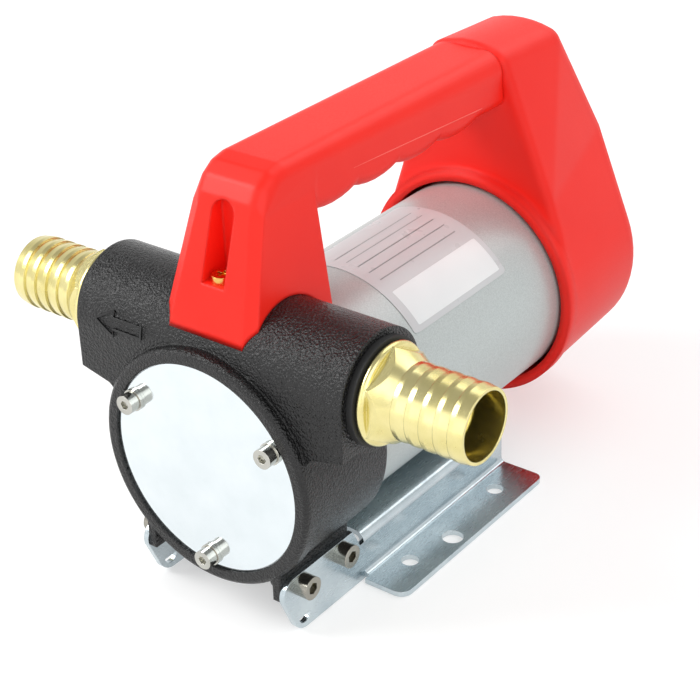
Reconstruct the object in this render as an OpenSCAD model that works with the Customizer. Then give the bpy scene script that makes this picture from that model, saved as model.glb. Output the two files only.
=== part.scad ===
// Hand carried vane pump for fuel and light oil: a cast pump head with two hose
// tails, a permanent magnet motor behind it, a folded sheet foot and a moulded
// handle that runs from the head to the motor's end cap.
// Millimetres. X runs along the hoses, Y from the cover towards the end cap and
// Z up from the floor. The origin is the centre of the foot's four outer holes.

/* [Layout] */
// Height of the motor axis above the floor
motor_axis_z = 60.4; // [60:0.1:61]
// How far the pump chamber's centre lies below the motor axis
chamber_offset = 1.9; // [1.7:0.1:2]
// Height of the hose axis above the pump chamber's centre
port_rise = 37.8; // [37.5:0.1:38.5]
// Distance of the hose axis behind the cover's face
port_back = 23.8; // [23.5:0.1:24.1]
// Distance from one hose tail's end to the other
hose_span = 192; // [188:1:200]

/* [Pump head] */
// Radius of the ring round the cover
ring_r = 44.1; // [43.8:0.1:44.6]
// How far the ring stands in front of the cover's face
ring_lip = 1; // [0.5:0.1:1.5]
// Length of the ring along the motor axis
ring_l = 5.5; // [5:0.5:7]
// Radius of the barrel behind the ring
barrel_r = 43.2; // [42.6:0.1:43.5]
// Depth of the head behind the cover's face
head_l = 44; // [43:0.5:46]
// Radius of the pump chamber
chamber_r = 28; // [27.6:0.1:28.2]
// Depth of the pump chamber
chamber_l = 23; // [21:0.5:24]
// Thickness of the wall behind the chamber
back_wall = 4; // [3.5:0.1:4.2]
// Outer radius of the port body
port_r = 21.1; // [20.6:0.1:21.6]
// Length of the port body along the hose axis
port_l = 113; // [110:1:116]
// How far the port body's square skirt reaches below the hose axis
skirt_drop = 17; // [16:0.5:18]
// How much further the skirt reaches down at its root
skirt_slope = 3; // [2:0.5:4]
// Radius of the fillet from the skirt into the barrel
skirt_fillet_r = 6; // [4:0.5:7]
// Radius of the passage inside the port body
passage_r = 9; // [8.5:0.1:9.2]
// Thickness of the wall between the inlet and the outlet passage
divider_t = 7; // [6:0.5:8]
// Width of each window from a passage to the chamber
window_w = 8; // [6:0.5:9]
// Length of each window along the motor axis
window_l = 14; // [10:1:16]
// Distance of each window's near side from the middle
window_x = 13; // [12.5:0.5:14]

/* [Head's feet] */
// Length of the lugs
lug_l = 37.5; // [36:0.5:40]
// Thickness of the lugs
lug_t = 3.2; // [2.8:0.1:4]
// Height of the lugs' lower edge above the floor
lug_z = 15.6; // [15:0.1:16.2]
// Radius of the bosses for the foot's screws
lug_boss_r = 4.6; // [4.3:0.1:4.9]
// Length of those bosses
lug_boss_l = 8; // [7:0.5:9]
// Radius of the fillet between lug and ring
lug_fillet_r = 5; // [4.5:0.1:6]

/* [Cover] */
// Radius of the cover plate
cover_r = 39; // [38.6:0.1:39.4]
// Thickness of the cover plate
cover_t = 4; // [3.5:0.1:4.5]
// Distance of the cover's screws from its centre
cover_screw_r = 34.5; // [34.3:0.1:34.8]
// Radius of the seal ring's centre line
seal_ring_r = 30.3; // [30.2:0.1:30.4]
// Thickness of the seal ring
seal_ring_d = 1.7; // [1.5:0.1:1.8]

/* [Hose tails] */
// Radius of the pipe thread
thread_r = 16.5; // [16.3:0.1:16.7]
// Length of the thread in the head
thread_l = 16; // [14:0.5:17]
// Radius of the round collar
collar_r = 17.6; // [17.5:0.1:18]
// Thickness of the round collar
collar_t = 3; // [2.5:0.1:3.5]
// Width across the flats of the hexagon
hex_w = 30; // [29.5:0.1:30.4]
// Length of the hexagon
hex_l = 7.5; // [7:0.5:8.5]
// Outer radius of the hose barbs
barb_r = 13.25; // [13.1:0.05:13.4]
// Depth of the steps between the barbs
barb_step = 0.6; // [0.4:0.05:0.8]
// Number of barbs
barb_n = 5; // [4:1:6]
// Radius of the bore at the mouth
bore_r = 11.57; // [11.4:0.01:11.7]
// Radius of the bore further in
throat_r = 10.8; // [10.5:0.1:11]
// Length of the bore's wider mouth
mouth_l = 12; // [8:1:14]
// Thickness of the flat gasket behind each collar
gasket_t = 2.4; // [2:0.1:2.8]
// Radius of that gasket
gasket_r = 18.6; // [18.2:0.1:19]

/* [Pump rotor] */
// Radius of the pump rotor
rotor_r = 25.7; // [25.5:0.05:25.8]
// Gap at each end of the pump rotor
rotor_end_gap = 0.3; // [0.2:0.05:0.4]
// Number of vanes
vane_n = 5; // [4:1:6]
// Thickness of a vane
vane_t = 3; // [2.5:0.1:3.5]
// Radial depth of a vane
vane_h = 8.5; // [7.5:0.1:9.5]
// Radius of the shaft in the pump and in its bearing
shaft_r = 5; // [4.9:0.05:5.1]
// Width of the key that drives the pump rotor
key_w = 3; // [2.8:0.1:3.2]

/* [Motor] */
// Outer radius of the motor tube
tube_r = 40.8; // [40.5:0.1:41]
// Wall thickness of the motor tube
tube_wall = 2.8; // [2.6:0.1:3]
// Distance that the tube reaches into the end cap
tube_in = 1.5; // [1:0.1:2]
// Radius of the armature
armature_r = 30.2; // [29.8:0.1:30.5]
// Gap between the armature's iron and the commutator
core_gap = 15; // [14:0.5:16]
// Distance of the armature's iron behind the cover's face
core_y = 66; // [65:0.5:68]
// Number of armature slots
slot_n = 12; // [10:1:12]
// Thickness of the magnets
magnet_t = 6.6; // [6.3:0.1:6.7]
// Radius of the commutator
commutator_r = 11; // [10.5:0.1:11.5]
// Length of the commutator
commutator_l = 14; // [12:0.5:15]
// Width of a carbon brush along the motor axis
brush_w = 8; // [7:0.5:9]
// Thickness of a carbon brush
brush_t = 6.5; // [6:0.5:7]
// Length of a carbon brush
brush_l = 13; // [12:0.5:14]

/* [Foot] */
// Thickness of the sheet
sheet_t = 2; // [1.8:0.1:2.2]
// Distance between the outer faces of the two walls
foot_w = 63.6; // [63:0.2:64]
// Gap between the motor tube and the sheet below it
tube_gap = 0.3; // [0.2:0.05:0.5]
// Distance of the flanges' front end behind the cover's face
flange_front = 41.6; // [41:0.2:43]
// Length of the flanges
flange_l = 91.8; // [88:1:96]
// Distance between the outer holes across the foot
hole_span_x = 81.1; // [80:0.1:82]
// Distance from the outer holes to the flanges' long edges
flange_side = 10.45; // [9.5:0.05:12]
// Distance between the outer holes along the foot
hole_span_y = 55.6; // [54:0.1:57]
// Distance of the front pair of holes behind the cover's face
hole_front = 59.7; // [59:0.1:60.5]
// Radius of the outer holes
hole_r = 3.25; // [3:0.05:3.5]
// How much further out than the outer holes the middle holes are, on each side
mid_out = 4.45; // [4:0.05:5]
// Distance of the middle holes behind the cover's face
mid_y = 80.3; // [79:0.1:82]
// Radius of the middle holes
mid_r = 4; // [3.8:0.05:4.2]
// Height of the ears beside the head
ear_h = 23.4; // [23.2:0.1:24]
// Distance of the ears' front end before the cover's face
ear_nose = 0.7; // [0:0.1:1]
// Distance of the ears' front screws behind the cover's face
ear_screw_y = 9; // [8.5:0.1:9.5]
// Distance between the two screws in an ear
ear_screw_pitch = 22; // [21:0.1:23]
// Height of the ears' screws above the floor
ear_screw_z = 19; // [18.8:0.1:19.2]

/* [Handle] */
// Height of the grip's top above the floor, at its front end
grip_top = 160; // [158:0.5:162]
// How far the grip's top falls towards the end cap
grip_fall = 1.6; // [1.2:0.1:2]
// Height of the grip's section
grip_h = 23.7; // [22.5:0.1:24.5]
// Width of the grip at its front end
grip_w = 28.6; // [27:0.2:29]
// Width of the grip where it enters the end cap
grip_end_w = 32.4; // [31:0.2:33]
// Radius of the grip's upper corners
grip_r = 5; // [4.5:0.5:6]
// Radius of the grip's lower corners
grip_low_r = 5; // [4:0.5:6]
// Radius of the grip's upper corners where it meets the end cap
grip_end_r = 8; // [7:0.5:9]
// Width of the leg at its foot
leg_w = 39.6; // [38:0.2:40.4]
// Width of the leg at the grip
leg_top_w = 29.4; // [28:0.2:30]
// Distance of the leg's toe behind the cover's face
leg_toe = 5; // [4.5:0.1:5.5]
// How far the leg's front leans back on its way up
leg_lean = 13; // [12:0.5:14]
// Depth of the leg at its foot
leg_d = 44; // [43:0.1:45]
// How far the leg's rear face leans forward on its way up
leg_rear_lean = 0.4; // [0.2:0.1:2]
// Width of the bevels along the leg's front
leg_bevel = 4.2; // [3.6:0.1:4.6]
// Depth of the bevels along the leg's front
leg_bevel_d = 2.6; // [2:0.1:3.5]
// Radius over the leg's top
shoulder_r = 16; // [13:0.5:18]
// Depth of the finger swells under the grip
finger_depth = 2.2; // [1:0.1:2.6]
// Distance from one finger swell to the next
finger_pitch = 23.6; // [23:0.2:25]
// Width of the screw recess in the leg
recess_w = 9.6; // [9.2:0.1:10]
// Distance of the handle's screw behind the cover's face
handle_screw_y = 15.5; // [15:0.1:16.5]

/* [End cap] */
// Radius of the cap round the motor, at its front
cap_r = 45.3; // [45:0.1:46]
// Radius of the cap round the motor, at its back
cap_back_r = 43; // [42.6:0.1:44]
// Distance of the cap's front face behind the cover's face
cap_front = 161.5; // [160.5:0.1:161.8]
// Depth of the cap
cap_l = 52.3; // [50:0.5:54]
// How far the cap's top leans forward
cap_lean = 5; // [4:0.5:6]
// How far the cap's top stands over the grip's top
cap_rise = 0; // [-0.4:0.1:1]
// Radius of the cap's upper corners
cap_corner_r = 7; // [6.5:0.1:7.5]
// Distance of the upper corners' centres from the middle
cap_corner_x = 10.3; // [10:0.1:11]
// Radius of the crown over the cap's top
cap_crown_r = 40; // [36:1:44]
// Radius of the cap's rounded edges
cap_edge_r = 2; // [1.5:0.1:2.4]
// Wall thickness of the cap
cap_wall = 3; // [2.6:0.1:3.2]
// Outer radius of the rim round the motor tube
rim_r = 46.2; // [45.8:0.1:46.5]
// Length of that rim
rim_l = 3.6; // [3:0.1:4]
// Gap between the motor tube and the rim
rim_gap = 1.4; // [1.2:0.1:1.8]
// Distance of the cap's screws from the motor axis, across and up
cap_screw_a = 21.9; // [21.5:0.1:22.5]

/* [Switch and cable entry] */
// Height of the switch's middle above the motor axis
switch_rise = 26; // [25:0.5:28]
// Width of the switch's frame
switch_w = 15; // [14.5:0.1:15.5]
// Height of the switch's frame
switch_h = 21; // [20.5:0.1:21.5]
// How far the rocker tips to each side, in degrees
rocker_tip = 9; // [7:0.5:10]
// Radius of the hole for the cable
cable_r = 3.2; // [3:0.1:3.5]
// Distance of the cable entry below the motor axis
cable_drop = 31; // [30:0.5:31.5]

/* [Hidden] */
$fn = 96;
// Sides of the round pieces inside a rounded hull
hull_fn = 32;
// How far a cut runs past the face it starts from
over = 1;
// Radial clearance of a piece that is seated in or on another
fit = 0.05;
// Gap between pieces that move against each other
run = 0.3;
// Thickness of the slices that a rounded hull is drawn over
slice = 0.5;

// Screw sizes
m4_r = 2;
m4_head_r = 3.5;
m4_head_h = 4;
m4_key_w = 3;
m5_r = 2.5;
m5_head_r = 4.25;
m5_head_h = 5;
m5_key_w = 4;
washer_t = 1.2;
cover_washer_r = 4;

// Heights and places that follow from the sizes above
head_z = motor_axis_z - chamber_offset;
port_z = head_z + port_rise;
origin_y = hole_front + hole_span_y / 2;
port_half = port_l / 2;
tail_end = hose_span / 2;
tube_in_r = tube_r - tube_wall;
tube_end = cap_front + tube_in;

// Along the shaft, behind the cover
chamber_end = cover_t + chamber_l;
seal_y = chamber_end + back_wall;
seal_l = 6;
seal_r = 11;
bearing_y = seal_y + seal_l + fit;
bearing_l = 8;
bearing_r = 13;
boss_wall = 4;
boss_end = bearing_y + bearing_l;
spigot_l = 5;
spigot_wall = 4;
spigot_r = tube_in_r - fit;
bell_y = tube_end;
bell_flange_t = 4;
bell_end = bell_y + bell_flange_t;
bell_spigot_l = 9;
bell_wall = 3.9;
bell_face_l = 6;
rear_bearing_r = 11;
rear_bearing_l = 7;
rear_bearing_y = bell_y - rear_bearing_l - over;
rear_shaft_r = 4;
armature_shaft_r = 6;
brush_plate_t = 3;
comm_y = rear_bearing_y - commutator_l - brush_plate_t - over;
core_l = comm_y - core_gap - core_y;
brush_plate_y = bell_y - bell_spigot_l - brush_plate_t;
tie_bolt_a = tube_in_r - over - m4_r;
tie_thread_l = 10;

// Cover screws stand at a third of a turn each
third = 120;
top_screw_angle = 30;
cover_screw_l = 12;

// Foot
foot_half = foot_w / 2;
flange_span = hole_span_x + 2 * flange_side;
mid_span_x = hole_span_x + 2 * mid_out;
foot_top = motor_axis_z - tube_r - tube_gap;
bend_r = sheet_t;
plate_front = head_l + tube_gap;
flange_back = flange_front + flange_l;
flange_corner_r = 4.5;
flange_rear_corner_r = 3.5;
lug_x = foot_half - sheet_t - fit;
bracket_screw_l = 9;

// Moves a piece from the cover's face to the part's own origin
module placed() {
  translate([0, -origin_y, 0])
    children();
}

// Extrudes an outline in X and Z from y0 to y1
module slab_y(y0, y1) {
  translate([0, y1, 0])
    rotate([90, 0, 0])
      linear_extrude(height = y1 - y0)
        children();
}

// Extrudes an outline in Y and Z from x0 to x1
module slab_x(x0, x1) {
  translate([x0, 0, 0])
    rotate([90, 0, 90])
      linear_extrude(height = x1 - x0)
        children();
}

// Cylinder along Y round the point x, z
module rod_y(r, y0, y1, x = 0, z = 0) {
  translate([x, y1, z])
    rotate([90, 0, 0])
      cylinder(r = r, h = y1 - y0);
}

// Cylinder along X round the point y, z
module rod_x(r, x0, x1, y = 0, z = 0) {
  translate([x0, y, z])
    rotate([0, 90, 0])
      cylinder(r = r, h = x1 - x0);
}

// Cylinder along Z round the point x, y
module rod_z(r, z0, z1, x = 0, y = 0) {
  translate([x, y, z0])
    cylinder(r = r, h = z1 - z0);
}

// Ring along Y
module ring_y(r_out, r_in, y0, y1, x = 0, z = 0) {
  difference() {
    rod_y(r_out, y0, y1, x, z);
    rod_y(r_in, y0 - over, y1 + over, x, z);
  }
}

// Box between two corners
module box(a, b) {
  translate(a)
    cube(b - a);
}

// Both sides of the part
module both_sides() {
  children();
  mirror([1, 0, 0])
    children();
}

// Cap screw with a socket, its head on z = 0 and its shank going down
module socket_screw(r, length, head_r, head_h, key_w) {
  difference() {
    union() {
      translate([0, 0, -length])
        cylinder(r = r, h = length + slice);
      cylinder(r = head_r, h = head_h);
    }
    translate([0, 0, head_h / 2])
      cylinder(r = key_w / sqrt(3), h = head_h, $fn = 6);
  }
}

// Ring polygon for a coil, one point per side
coil_sides = 6;
coil_steps = 8;

function coil_point(i, j, turns, r, wire, length) =
  let (turn = i / coil_steps,
       a = 360 * turn,
       b = 360 * j / coil_sides,
       rise = length * turn / turns)
  [(r + wire * cos(b)) * cos(a),
   (r + wire * cos(b)) * sin(a),
   rise + wire * sin(b)];

function coil_centre(i, turns, r, length) =
  let (turn = i / coil_steps)
  [r * cos(360 * turn), r * sin(360 * turn), length * turn / turns];

// Open coil of round wire along Z, as one unbroken tube
module coil(turns, r, wire, length) {
  centres = [for (i = [0:turns * coil_steps]) coil_centre(i, turns, r, length)];
  gaps = [for (i = [0:len(centres) - 1]) for (j = [i + coil_steps / 2:len(centres) - 1])
          norm(centres[i] - centres[j]) - 2 * wire];
  echo(least_coil_gap = min(gaps));
  rings = turns * coil_steps;
  points = [for (i = [0:rings]) for (j = [0:coil_sides - 1])
            coil_point(i, j, turns, r, wire, length)];
  last = rings * coil_sides;
  sides = [for (i = [0:rings - 1]) for (j = [0:coil_sides - 1])
    let (k = (j + 1) % coil_sides,
         p = i * coil_sides)
    each [[p + j, p + coil_sides + j, p + coil_sides + k],
          [p + j, p + coil_sides + k, p + k]]];
  first_cap = [for (j = [1:coil_sides - 2]) [0, j, j + 1]];
  last_cap = [for (j = [1:coil_sides - 2]) [last, last + j + 1, last + j]];
  polyhedron(points = points, faces = concat(sides, first_cap, last_cap));
}

// Port body: round over the top, square in front and behind, with a sloping skirt
module port_body() {
  rod_x(port_r, -port_half, port_half, port_back, port_z);
  slab_y(port_back - port_r + fit, port_back + port_r - fit)
    polygon([
      [-port_half, port_z],
      [-port_half, port_z - skirt_drop],
      [-ring_r, port_z - skirt_drop - skirt_slope],
      [ring_r, port_z - skirt_drop - skirt_slope],
      [port_half, port_z - skirt_drop],
      [port_half, port_z]]);
}

// Ring round the cover, with its front edge rounded
module cover_ring() {
  translate([0, 0, head_z])
    rotate([90, 0, 0])
      rotate_extrude()
        union() {
          translate([0, -ring_l])
            square([ring_r, ring_l + ring_lip - ring_edge_r]);
          square([ring_r - ring_edge_r, ring_lip]);
          translate([ring_r - ring_edge_r, ring_lip - ring_edge_r])
            circle(r = ring_edge_r);
        }
}

module tie_bolt_places() {
  for (s = [-1, 1])
    translate([0, 0, motor_axis_z + s * tie_bolt_a])
      children();
}

// Fillet on the right between the port body's skirt and the barrel
module skirt_fillet() {
  fillet_z = port_z - skirt_drop - skirt_slope * fillet_share - skirt_fillet_r;
  fillet_d = barrel_r + skirt_fillet_r - 2 * fit;
  fillet_x = sqrt(fillet_d * fillet_d - (fillet_z - head_z) * (fillet_z - head_z));
  touch = (barrel_r - slice) / fillet_d;
  difference() {
    polygon([
      [fillet_x, fillet_z + skirt_fillet_r],
      [fillet_x * touch, head_z + (fillet_z - head_z) * touch],
      [fillet_x / 2, head_z + slice],
      [fillet_x / 2, fillet_z + skirt_fillet_r]]);
    translate([fillet_x, fillet_z])
      circle(r = skirt_fillet_r);
  }
}

// Outline of one lug, with the fillet that runs into the ring
module lug_outline() {
  fillet_x = lug_x + lug_fillet_r;
  fillet_d = barrel_r + lug_fillet_r - 2 * fit;
  fillet_z = head_z - sqrt(fillet_d * fillet_d - fillet_x * fillet_x);
  touch = (barrel_r - slice) / fillet_d;
  difference() {
    union() {
      translate([lug_x - lug_t, lug_z])
        square([lug_t, fillet_z - lug_z + lug_t]);
      polygon([
        [lug_x - lug_t, fillet_z],
        [fillet_x, fillet_z],
        [fillet_x * touch, head_z - (head_z - fillet_z) * touch],
        [fillet_x / 2, head_z - (head_z - fillet_z) * touch]]);
    }
    translate([fillet_x, fillet_z])
      circle(r = lug_fillet_r);
  }
}

module ear_screw_places() {
  for (k = [0:1])
    translate([0, ear_screw_y + k * ear_screw_pitch, ear_screw_z])
      children();
}

module cover_screw_places() {
  for (k = [0:2])
    translate([cover_screw_r * cos(top_screw_angle + k * third), 0,
               head_z + cover_screw_r * sin(top_screw_angle + k * third)])
      children();
}

ring_edge_r = 2;
fillet_share = 0.7;
seal_groove_w = seal_ring_d + 2 * fit;
poppet_seat_r = 5;
handle_screw_l = 15;

// Cast head with the pump chamber, the two ports and the two lugs
module pump_housing() placed() color("#2b2b2d") {
  difference() {
    union() {
      cover_ring();
      rod_y(barrel_r, 0, head_l, 0, head_z);
      difference() {
        union() {
          port_body();
          both_sides()
            slab_y(port_back - port_r + fit, port_back + port_r - fit)
              skirt_fillet();
        }
        // Machined seat of the motor tube
        ring_y(tube_r + run, spigot_r - over, head_l, port_back + port_r + over,
               0, motor_axis_z);
      }
      both_sides() {
        slab_y(0, lug_l)
          lug_outline();
        ear_screw_places()
          rod_x(lug_boss_r, lug_x - lug_boss_l, lug_x);
      }
      rod_y(spigot_r, head_l, head_l + spigot_l, 0, motor_axis_z);
    }
    // Cover seat and pump chamber
    rod_y(cover_r + 2 * fit, -ring_lip - over, cover_t, 0, head_z);
    rod_y(chamber_r, cover_t - over, chamber_end, 0, head_z);
    // Groove of the seal ring
    difference() {
      rod_y(seal_ring_r + seal_groove_w / 2, cover_t - over,
            cover_t + seal_groove_w, 0, head_z);
      rod_y(seal_ring_r - seal_groove_w / 2, cover_t - 2 * over,
            cover_t + seal_groove_w + over, 0, head_z);
    }
    // Cover screws
    cover_screw_places()
      rod_y(m4_r + fit, cover_t - over, cover_t + cover_screw_l);
    // Shaft, its seal and its bearing
    rod_y(shaft_r + run, chamber_end - over, seal_y + over, 0, motor_axis_z);
    rod_y(seal_r + fit, seal_y, bearing_y + over, 0, motor_axis_z);
    rod_y(bearing_r + fit, bearing_y, head_l + spigot_l + over, 0, motor_axis_z);
    ring_y(spigot_r - spigot_wall, bearing_r + boss_wall, head_l,
           head_l + spigot_l + over, 0, motor_axis_z);
    // Tie bolts
    tie_bolt_places()
      rod_y(m4_r + fit, head_l - tie_thread_l, head_l + spigot_l + over);
    // Passages, threads and windows
    both_sides() {
      rod_x(passage_r, divider_t / 2, port_half, port_back, port_z);
      rod_x(thread_r + fit, port_half - thread_l - over, port_half + over,
            port_back, port_z);
      box([window_x, port_back - window_l, head_z],
          [window_x + window_w, port_back, port_z]);
    }
    // Seat of the bypass valve
    rod_x(poppet_seat_r, -divider_t, divider_t, port_back, port_z);
    // Screws of the foot
    both_sides()
      ear_screw_places()
        rod_x(m5_r + fit, lug_x - lug_boss_l - over, lug_x + over);
    // Screw of the handle
    rod_z(m4_r + fit, handle_floor_z - handle_screw_l - slice,
          port_z + port_r + over, 0, handle_screw_y);
  }
}

// Bright round plate that closes the pump chamber
module front_cover() placed() color("#eef1f3") {
  difference() {
    rod_y(cover_r, 0, cover_t, 0, head_z);
    cover_screw_places()
      rod_y(m4_r + 2 * fit, -over, cover_t + over);
  }
}

// Seal ring behind the cover
module cover_seal() placed() color("#1c1c1c") {
  translate([0, cover_t + seal_groove_w / 2, head_z])
    rotate([90, 0, 0])
      rotate_extrude()
        translate([seal_ring_r, 0])
          circle(r = seal_ring_d / 2, $fn = 24);
}

module cover_washers() placed() color("#c9ccce") {
  cover_screw_places()
    ring_y(cover_washer_r, m4_r + 2 * fit, -washer_t, 0);
}

module cover_screws() placed() color("#c9ccce") {
  cover_screw_places()
    translate([0, -washer_t, 0])
      rotate([90, 0, 0])
        socket_screw(m4_r, washer_t + cover_t + cover_screw_l - slice, m4_head_r,
                     m4_head_h, m4_key_w);
}

tail_seat = port_half + gasket_t;

// Hose tail along +X: thread, collar, hexagon and barbs round one stepped bore
module hose_tail() {
  barb_start = tail_seat + collar_t + hex_l;
  barb_pitch = (tail_end - barb_start) / barb_n;
  root_r = barb_r - barb_step;
  collar_round = collar_t / 2;
  translate([0, port_back, port_z])
    rotate([0, 90, 0])
      difference() {
        union() {
          rotate_extrude()
            union() {
              polygon([
                [0, tail_seat - gasket_t - thread_l + slice],
                [thread_r - slice, tail_seat - gasket_t - thread_l + slice],
                [thread_r, tail_seat - gasket_t - thread_l + 2 * slice],
                [thread_r, tail_seat],
                [collar_r - collar_round, tail_seat],
                [collar_r - collar_round, tail_seat + collar_t],
                [root_r, tail_seat + collar_t],
                [root_r, tail_end],
                [0, tail_end]]);
              translate([collar_r - collar_round, tail_seat + collar_round])
                circle(r = collar_round, $fn = 32);
              for (k = [0:barb_n - 1])
                polygon([
                  [0, barb_start + k * barb_pitch],
                  [barb_r, barb_start + k * barb_pitch],
                  [barb_r, barb_start + (k + 1 / 3) * barb_pitch],
                  [root_r, barb_start + (k + 1) * barb_pitch],
                  [0, barb_start + (k + 1) * barb_pitch]]);
            }
          intersection() {
            translate([0, 0, tail_seat + collar_t / 2])
              cylinder(r = hex_w / sqrt(3), h = hex_l + collar_t / 2, $fn = 6);
            translate([0, 0, tail_seat])
              rotate_extrude()
                polygon([
                  [0, 0],
                  [collar_r, 0],
                  [collar_r, collar_t],
                  [root_r, collar_t + hex_l + slice],
                  [0, collar_t + hex_l + slice]]);
          }
        }
        translate([0, 0, port_half - thread_l])
          cylinder(r = throat_r, h = tail_end - port_half + thread_l + over);
        translate([0, 0, tail_end - mouth_l])
          cylinder(r = bore_r, h = mouth_l + over);
      }
}

module inlet_tail() placed() color("#e3d27a")
  hose_tail();

module outlet_tail() placed() color("#e3d27a")
  mirror([1, 0, 0])
    hose_tail();

// Flat gasket between the head and a collar
module tail_gasket() {
  difference() {
    rod_x(gasket_r, port_half, port_half + gasket_t, port_back, port_z);
    rod_x(thread_r + fit, port_half - over, port_half + gasket_t + over,
          port_back, port_z);
  }
}

module inlet_gasket() placed() color("#111111")
  tail_gasket();

module outlet_gasket() placed() color("#111111")
  mirror([1, 0, 0])
    tail_gasket();

strainer_wall = 0.8;
strainer_rim_t = 1;
strainer_l = 12;
strainer_hole_r = 1.1;
strainer_rows = 3;
strainer_holes = 8;

// Perforated cup that keeps dirt out of the pump
module inlet_strainer() placed() color("#b9bcc0") {
  rim_x = port_half - thread_l - over + fit;
  cup_r = passage_r - 2 * fit;
  translate([0, port_back, port_z])
    difference() {
      union() {
        rod_x(thread_r - fit, rim_x, rim_x + strainer_rim_t);
        rod_x(cup_r, rim_x - strainer_l, rim_x + strainer_rim_t);
      }
      rod_x(cup_r - strainer_wall, rim_x - strainer_l + strainer_wall,
            rim_x + strainer_rim_t + over);
      for (row = [0:strainer_rows - 1])
        for (k = [0:strainer_holes - 1])
          translate([rim_x - strainer_l * (row + 1) / (strainer_rows + 1), 0, 0])
            rotate([k * 360 / strainer_holes, 0, 0])
              rod_z(strainer_hole_r, cup_r / 2, cup_r + over);
    }
}

poppet_r = 7;
poppet_t = 2.5;
poppet_stem_r = 2;
poppet_stem_l = 17;
poppet_travel = 3;
bypass_spring_r = 5;
bypass_wire_r = 0.5;
bypass_turns = 4;
retainer_t = 1.6;
retainer_hole_r = 2.4;
poppet_x = divider_t / 2 + run / 3;
retainer_x = window_x + window_w;

// Valve disc that lets the pump's outlet leak back to its inlet
module bypass_poppet() placed() color("#c8a24a") {
  rod_x(poppet_r, poppet_x, poppet_x + poppet_t, port_back, port_z);
  rod_x(poppet_stem_r, poppet_x, poppet_x + poppet_t + poppet_stem_l,
        port_back, port_z);
}

// Coil that holds the valve disc shut
module bypass_spring() placed() color("#b4b8bc") {
  x0 = poppet_x + poppet_t + bypass_wire_r + run / 3;
  x1 = retainer_x - bypass_wire_r - run / 3;
  translate([x0, port_back, port_z])
    rotate([0, 90, 0])
      coil(bypass_turns, bypass_spring_r, bypass_wire_r, x1 - x0);
}

// Ring with holes that carries the coil's far end
module bypass_retainer() placed() color("#c8a24a") {
  translate([0, port_back, port_z])
    difference() {
      rod_x(passage_r - fit, retainer_x, retainer_x + retainer_t);
      rod_x(poppet_stem_r + run, retainer_x - over, retainer_x + retainer_t + over);
      for (k = [0:3])
        rotate([45 + 90 * k, 0, 0])
          translate([0, 0, passage_r * 2 / 3])
            rod_x(retainer_hole_r / 2, retainer_x - over,
                  retainer_x + retainer_t + over);
    }
}

rotor_y0 = cover_t + rotor_end_gap;
rotor_y1 = chamber_end - rotor_end_gap;
vane_slot_t = vane_t + 4 * fit;
vane_root = rotor_r - vane_h;
key_h = key_w;
key_l = 16;
key_y = (rotor_y0 + rotor_y1 - key_l) / 2;
key_z = shaft_r - key_h / 2;

// One key, grown by g on its sides and top
module key_block(g) {
  box([-key_w / 2 - g, key_y - g, key_z - g],
      [key_w / 2 + g, key_y + key_l + g, key_z + key_h + g]);
}

// Slotted rotor that carries the vanes
module pump_rotor() placed() color("#8f9398") {
  translate([0, 0, motor_axis_z])
    difference() {
      rod_y(rotor_r, rotor_y0, rotor_y1);
      rod_y(shaft_r + fit, rotor_y0 - over, rotor_y1 + over);
      box([-key_w / 2 - fit, rotor_y0 - over, 0],
          [key_w / 2 + fit, rotor_y1 + over, key_z + key_h + fit]);
      for (k = [0:vane_n - 1])
        rotate([0, 360 * (k + 1 / 2) / vane_n, 0])
          box([-vane_slot_t / 2, rotor_y0 - over, vane_root - fit],
              [vane_slot_t / 2, rotor_y1 + over, rotor_r + over]);
    }
}

// Sliding vanes, drawn all the way in
module vanes() placed() color("#3a3a3c") {
  translate([0, 0, motor_axis_z])
    for (k = [0:vane_n - 1])
      rotate([0, 360 * (k + 1 / 2) / vane_n, 0])
        intersection() {
          box([-vane_t / 2, rotor_y0, vane_root],
              [vane_t / 2, rotor_y1, rotor_r + over]);
          rod_y(rotor_r, rotor_y0 - over, rotor_y1 + over);
        }
}

module rotor_key() placed() color("#9da1a6") {
  translate([0, 0, motor_axis_z])
    key_block(0);
}

shaft_y0 = rotor_y0 + over;
shaft_step_y = boss_end + over;
rear_step_y = rear_bearing_y - slice;
shaft_end_y = rear_bearing_y + rear_bearing_l;

// Motor shaft, which carries the pump rotor on its front end
module shaft() placed() color("#b7bbc0") {
  translate([0, 0, motor_axis_z])
    difference() {
      union() {
        rod_y(shaft_r, shaft_y0, shaft_step_y);
        rod_y(armature_shaft_r, shaft_step_y, rear_step_y);
        rod_y(rear_shaft_r, rear_step_y, shaft_end_y);
      }
      key_block(fit / 2);
    }
}

// Lip seal between the pump and the motor
module shaft_seal() placed() color("#202022") {
  lip_w = 1.6;
  difference() {
    rod_y(seal_r, seal_y + fit, seal_y + seal_l, 0, motor_axis_z);
    rod_y(shaft_r + fit, seal_y - over, seal_y + seal_l + over, 0, motor_axis_z);
    ring_y(seal_r - lip_w, shaft_r + lip_w, seal_y + seal_l / 2,
           seal_y + seal_l + over, 0, motor_axis_z);
  }
}

// Ball bearing with sunk shields
module ball_bearing(r_in, r_out, y0, y1) {
  race = (r_out - r_in) / 4;
  shield_sink = (y1 - y0) / 16;
  difference() {
    ring_y(r_out, r_in + fit, y0, y1, 0, motor_axis_z);
    for (y = [y0 - over, y1 - shield_sink])
      ring_y(r_out - race, r_in + race, y, y + over + shield_sink, 0, motor_axis_z);
  }
}

module front_bearing() placed() color("#c4c7ca")
  ball_bearing(shaft_r, bearing_r, bearing_y + fit, bearing_y + bearing_l - fit);

module rear_bearing() placed() color("#c4c7ca")
  ball_bearing(rear_shaft_r, rear_bearing_r, rear_bearing_y,
               rear_bearing_y + rear_bearing_l);

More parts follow.
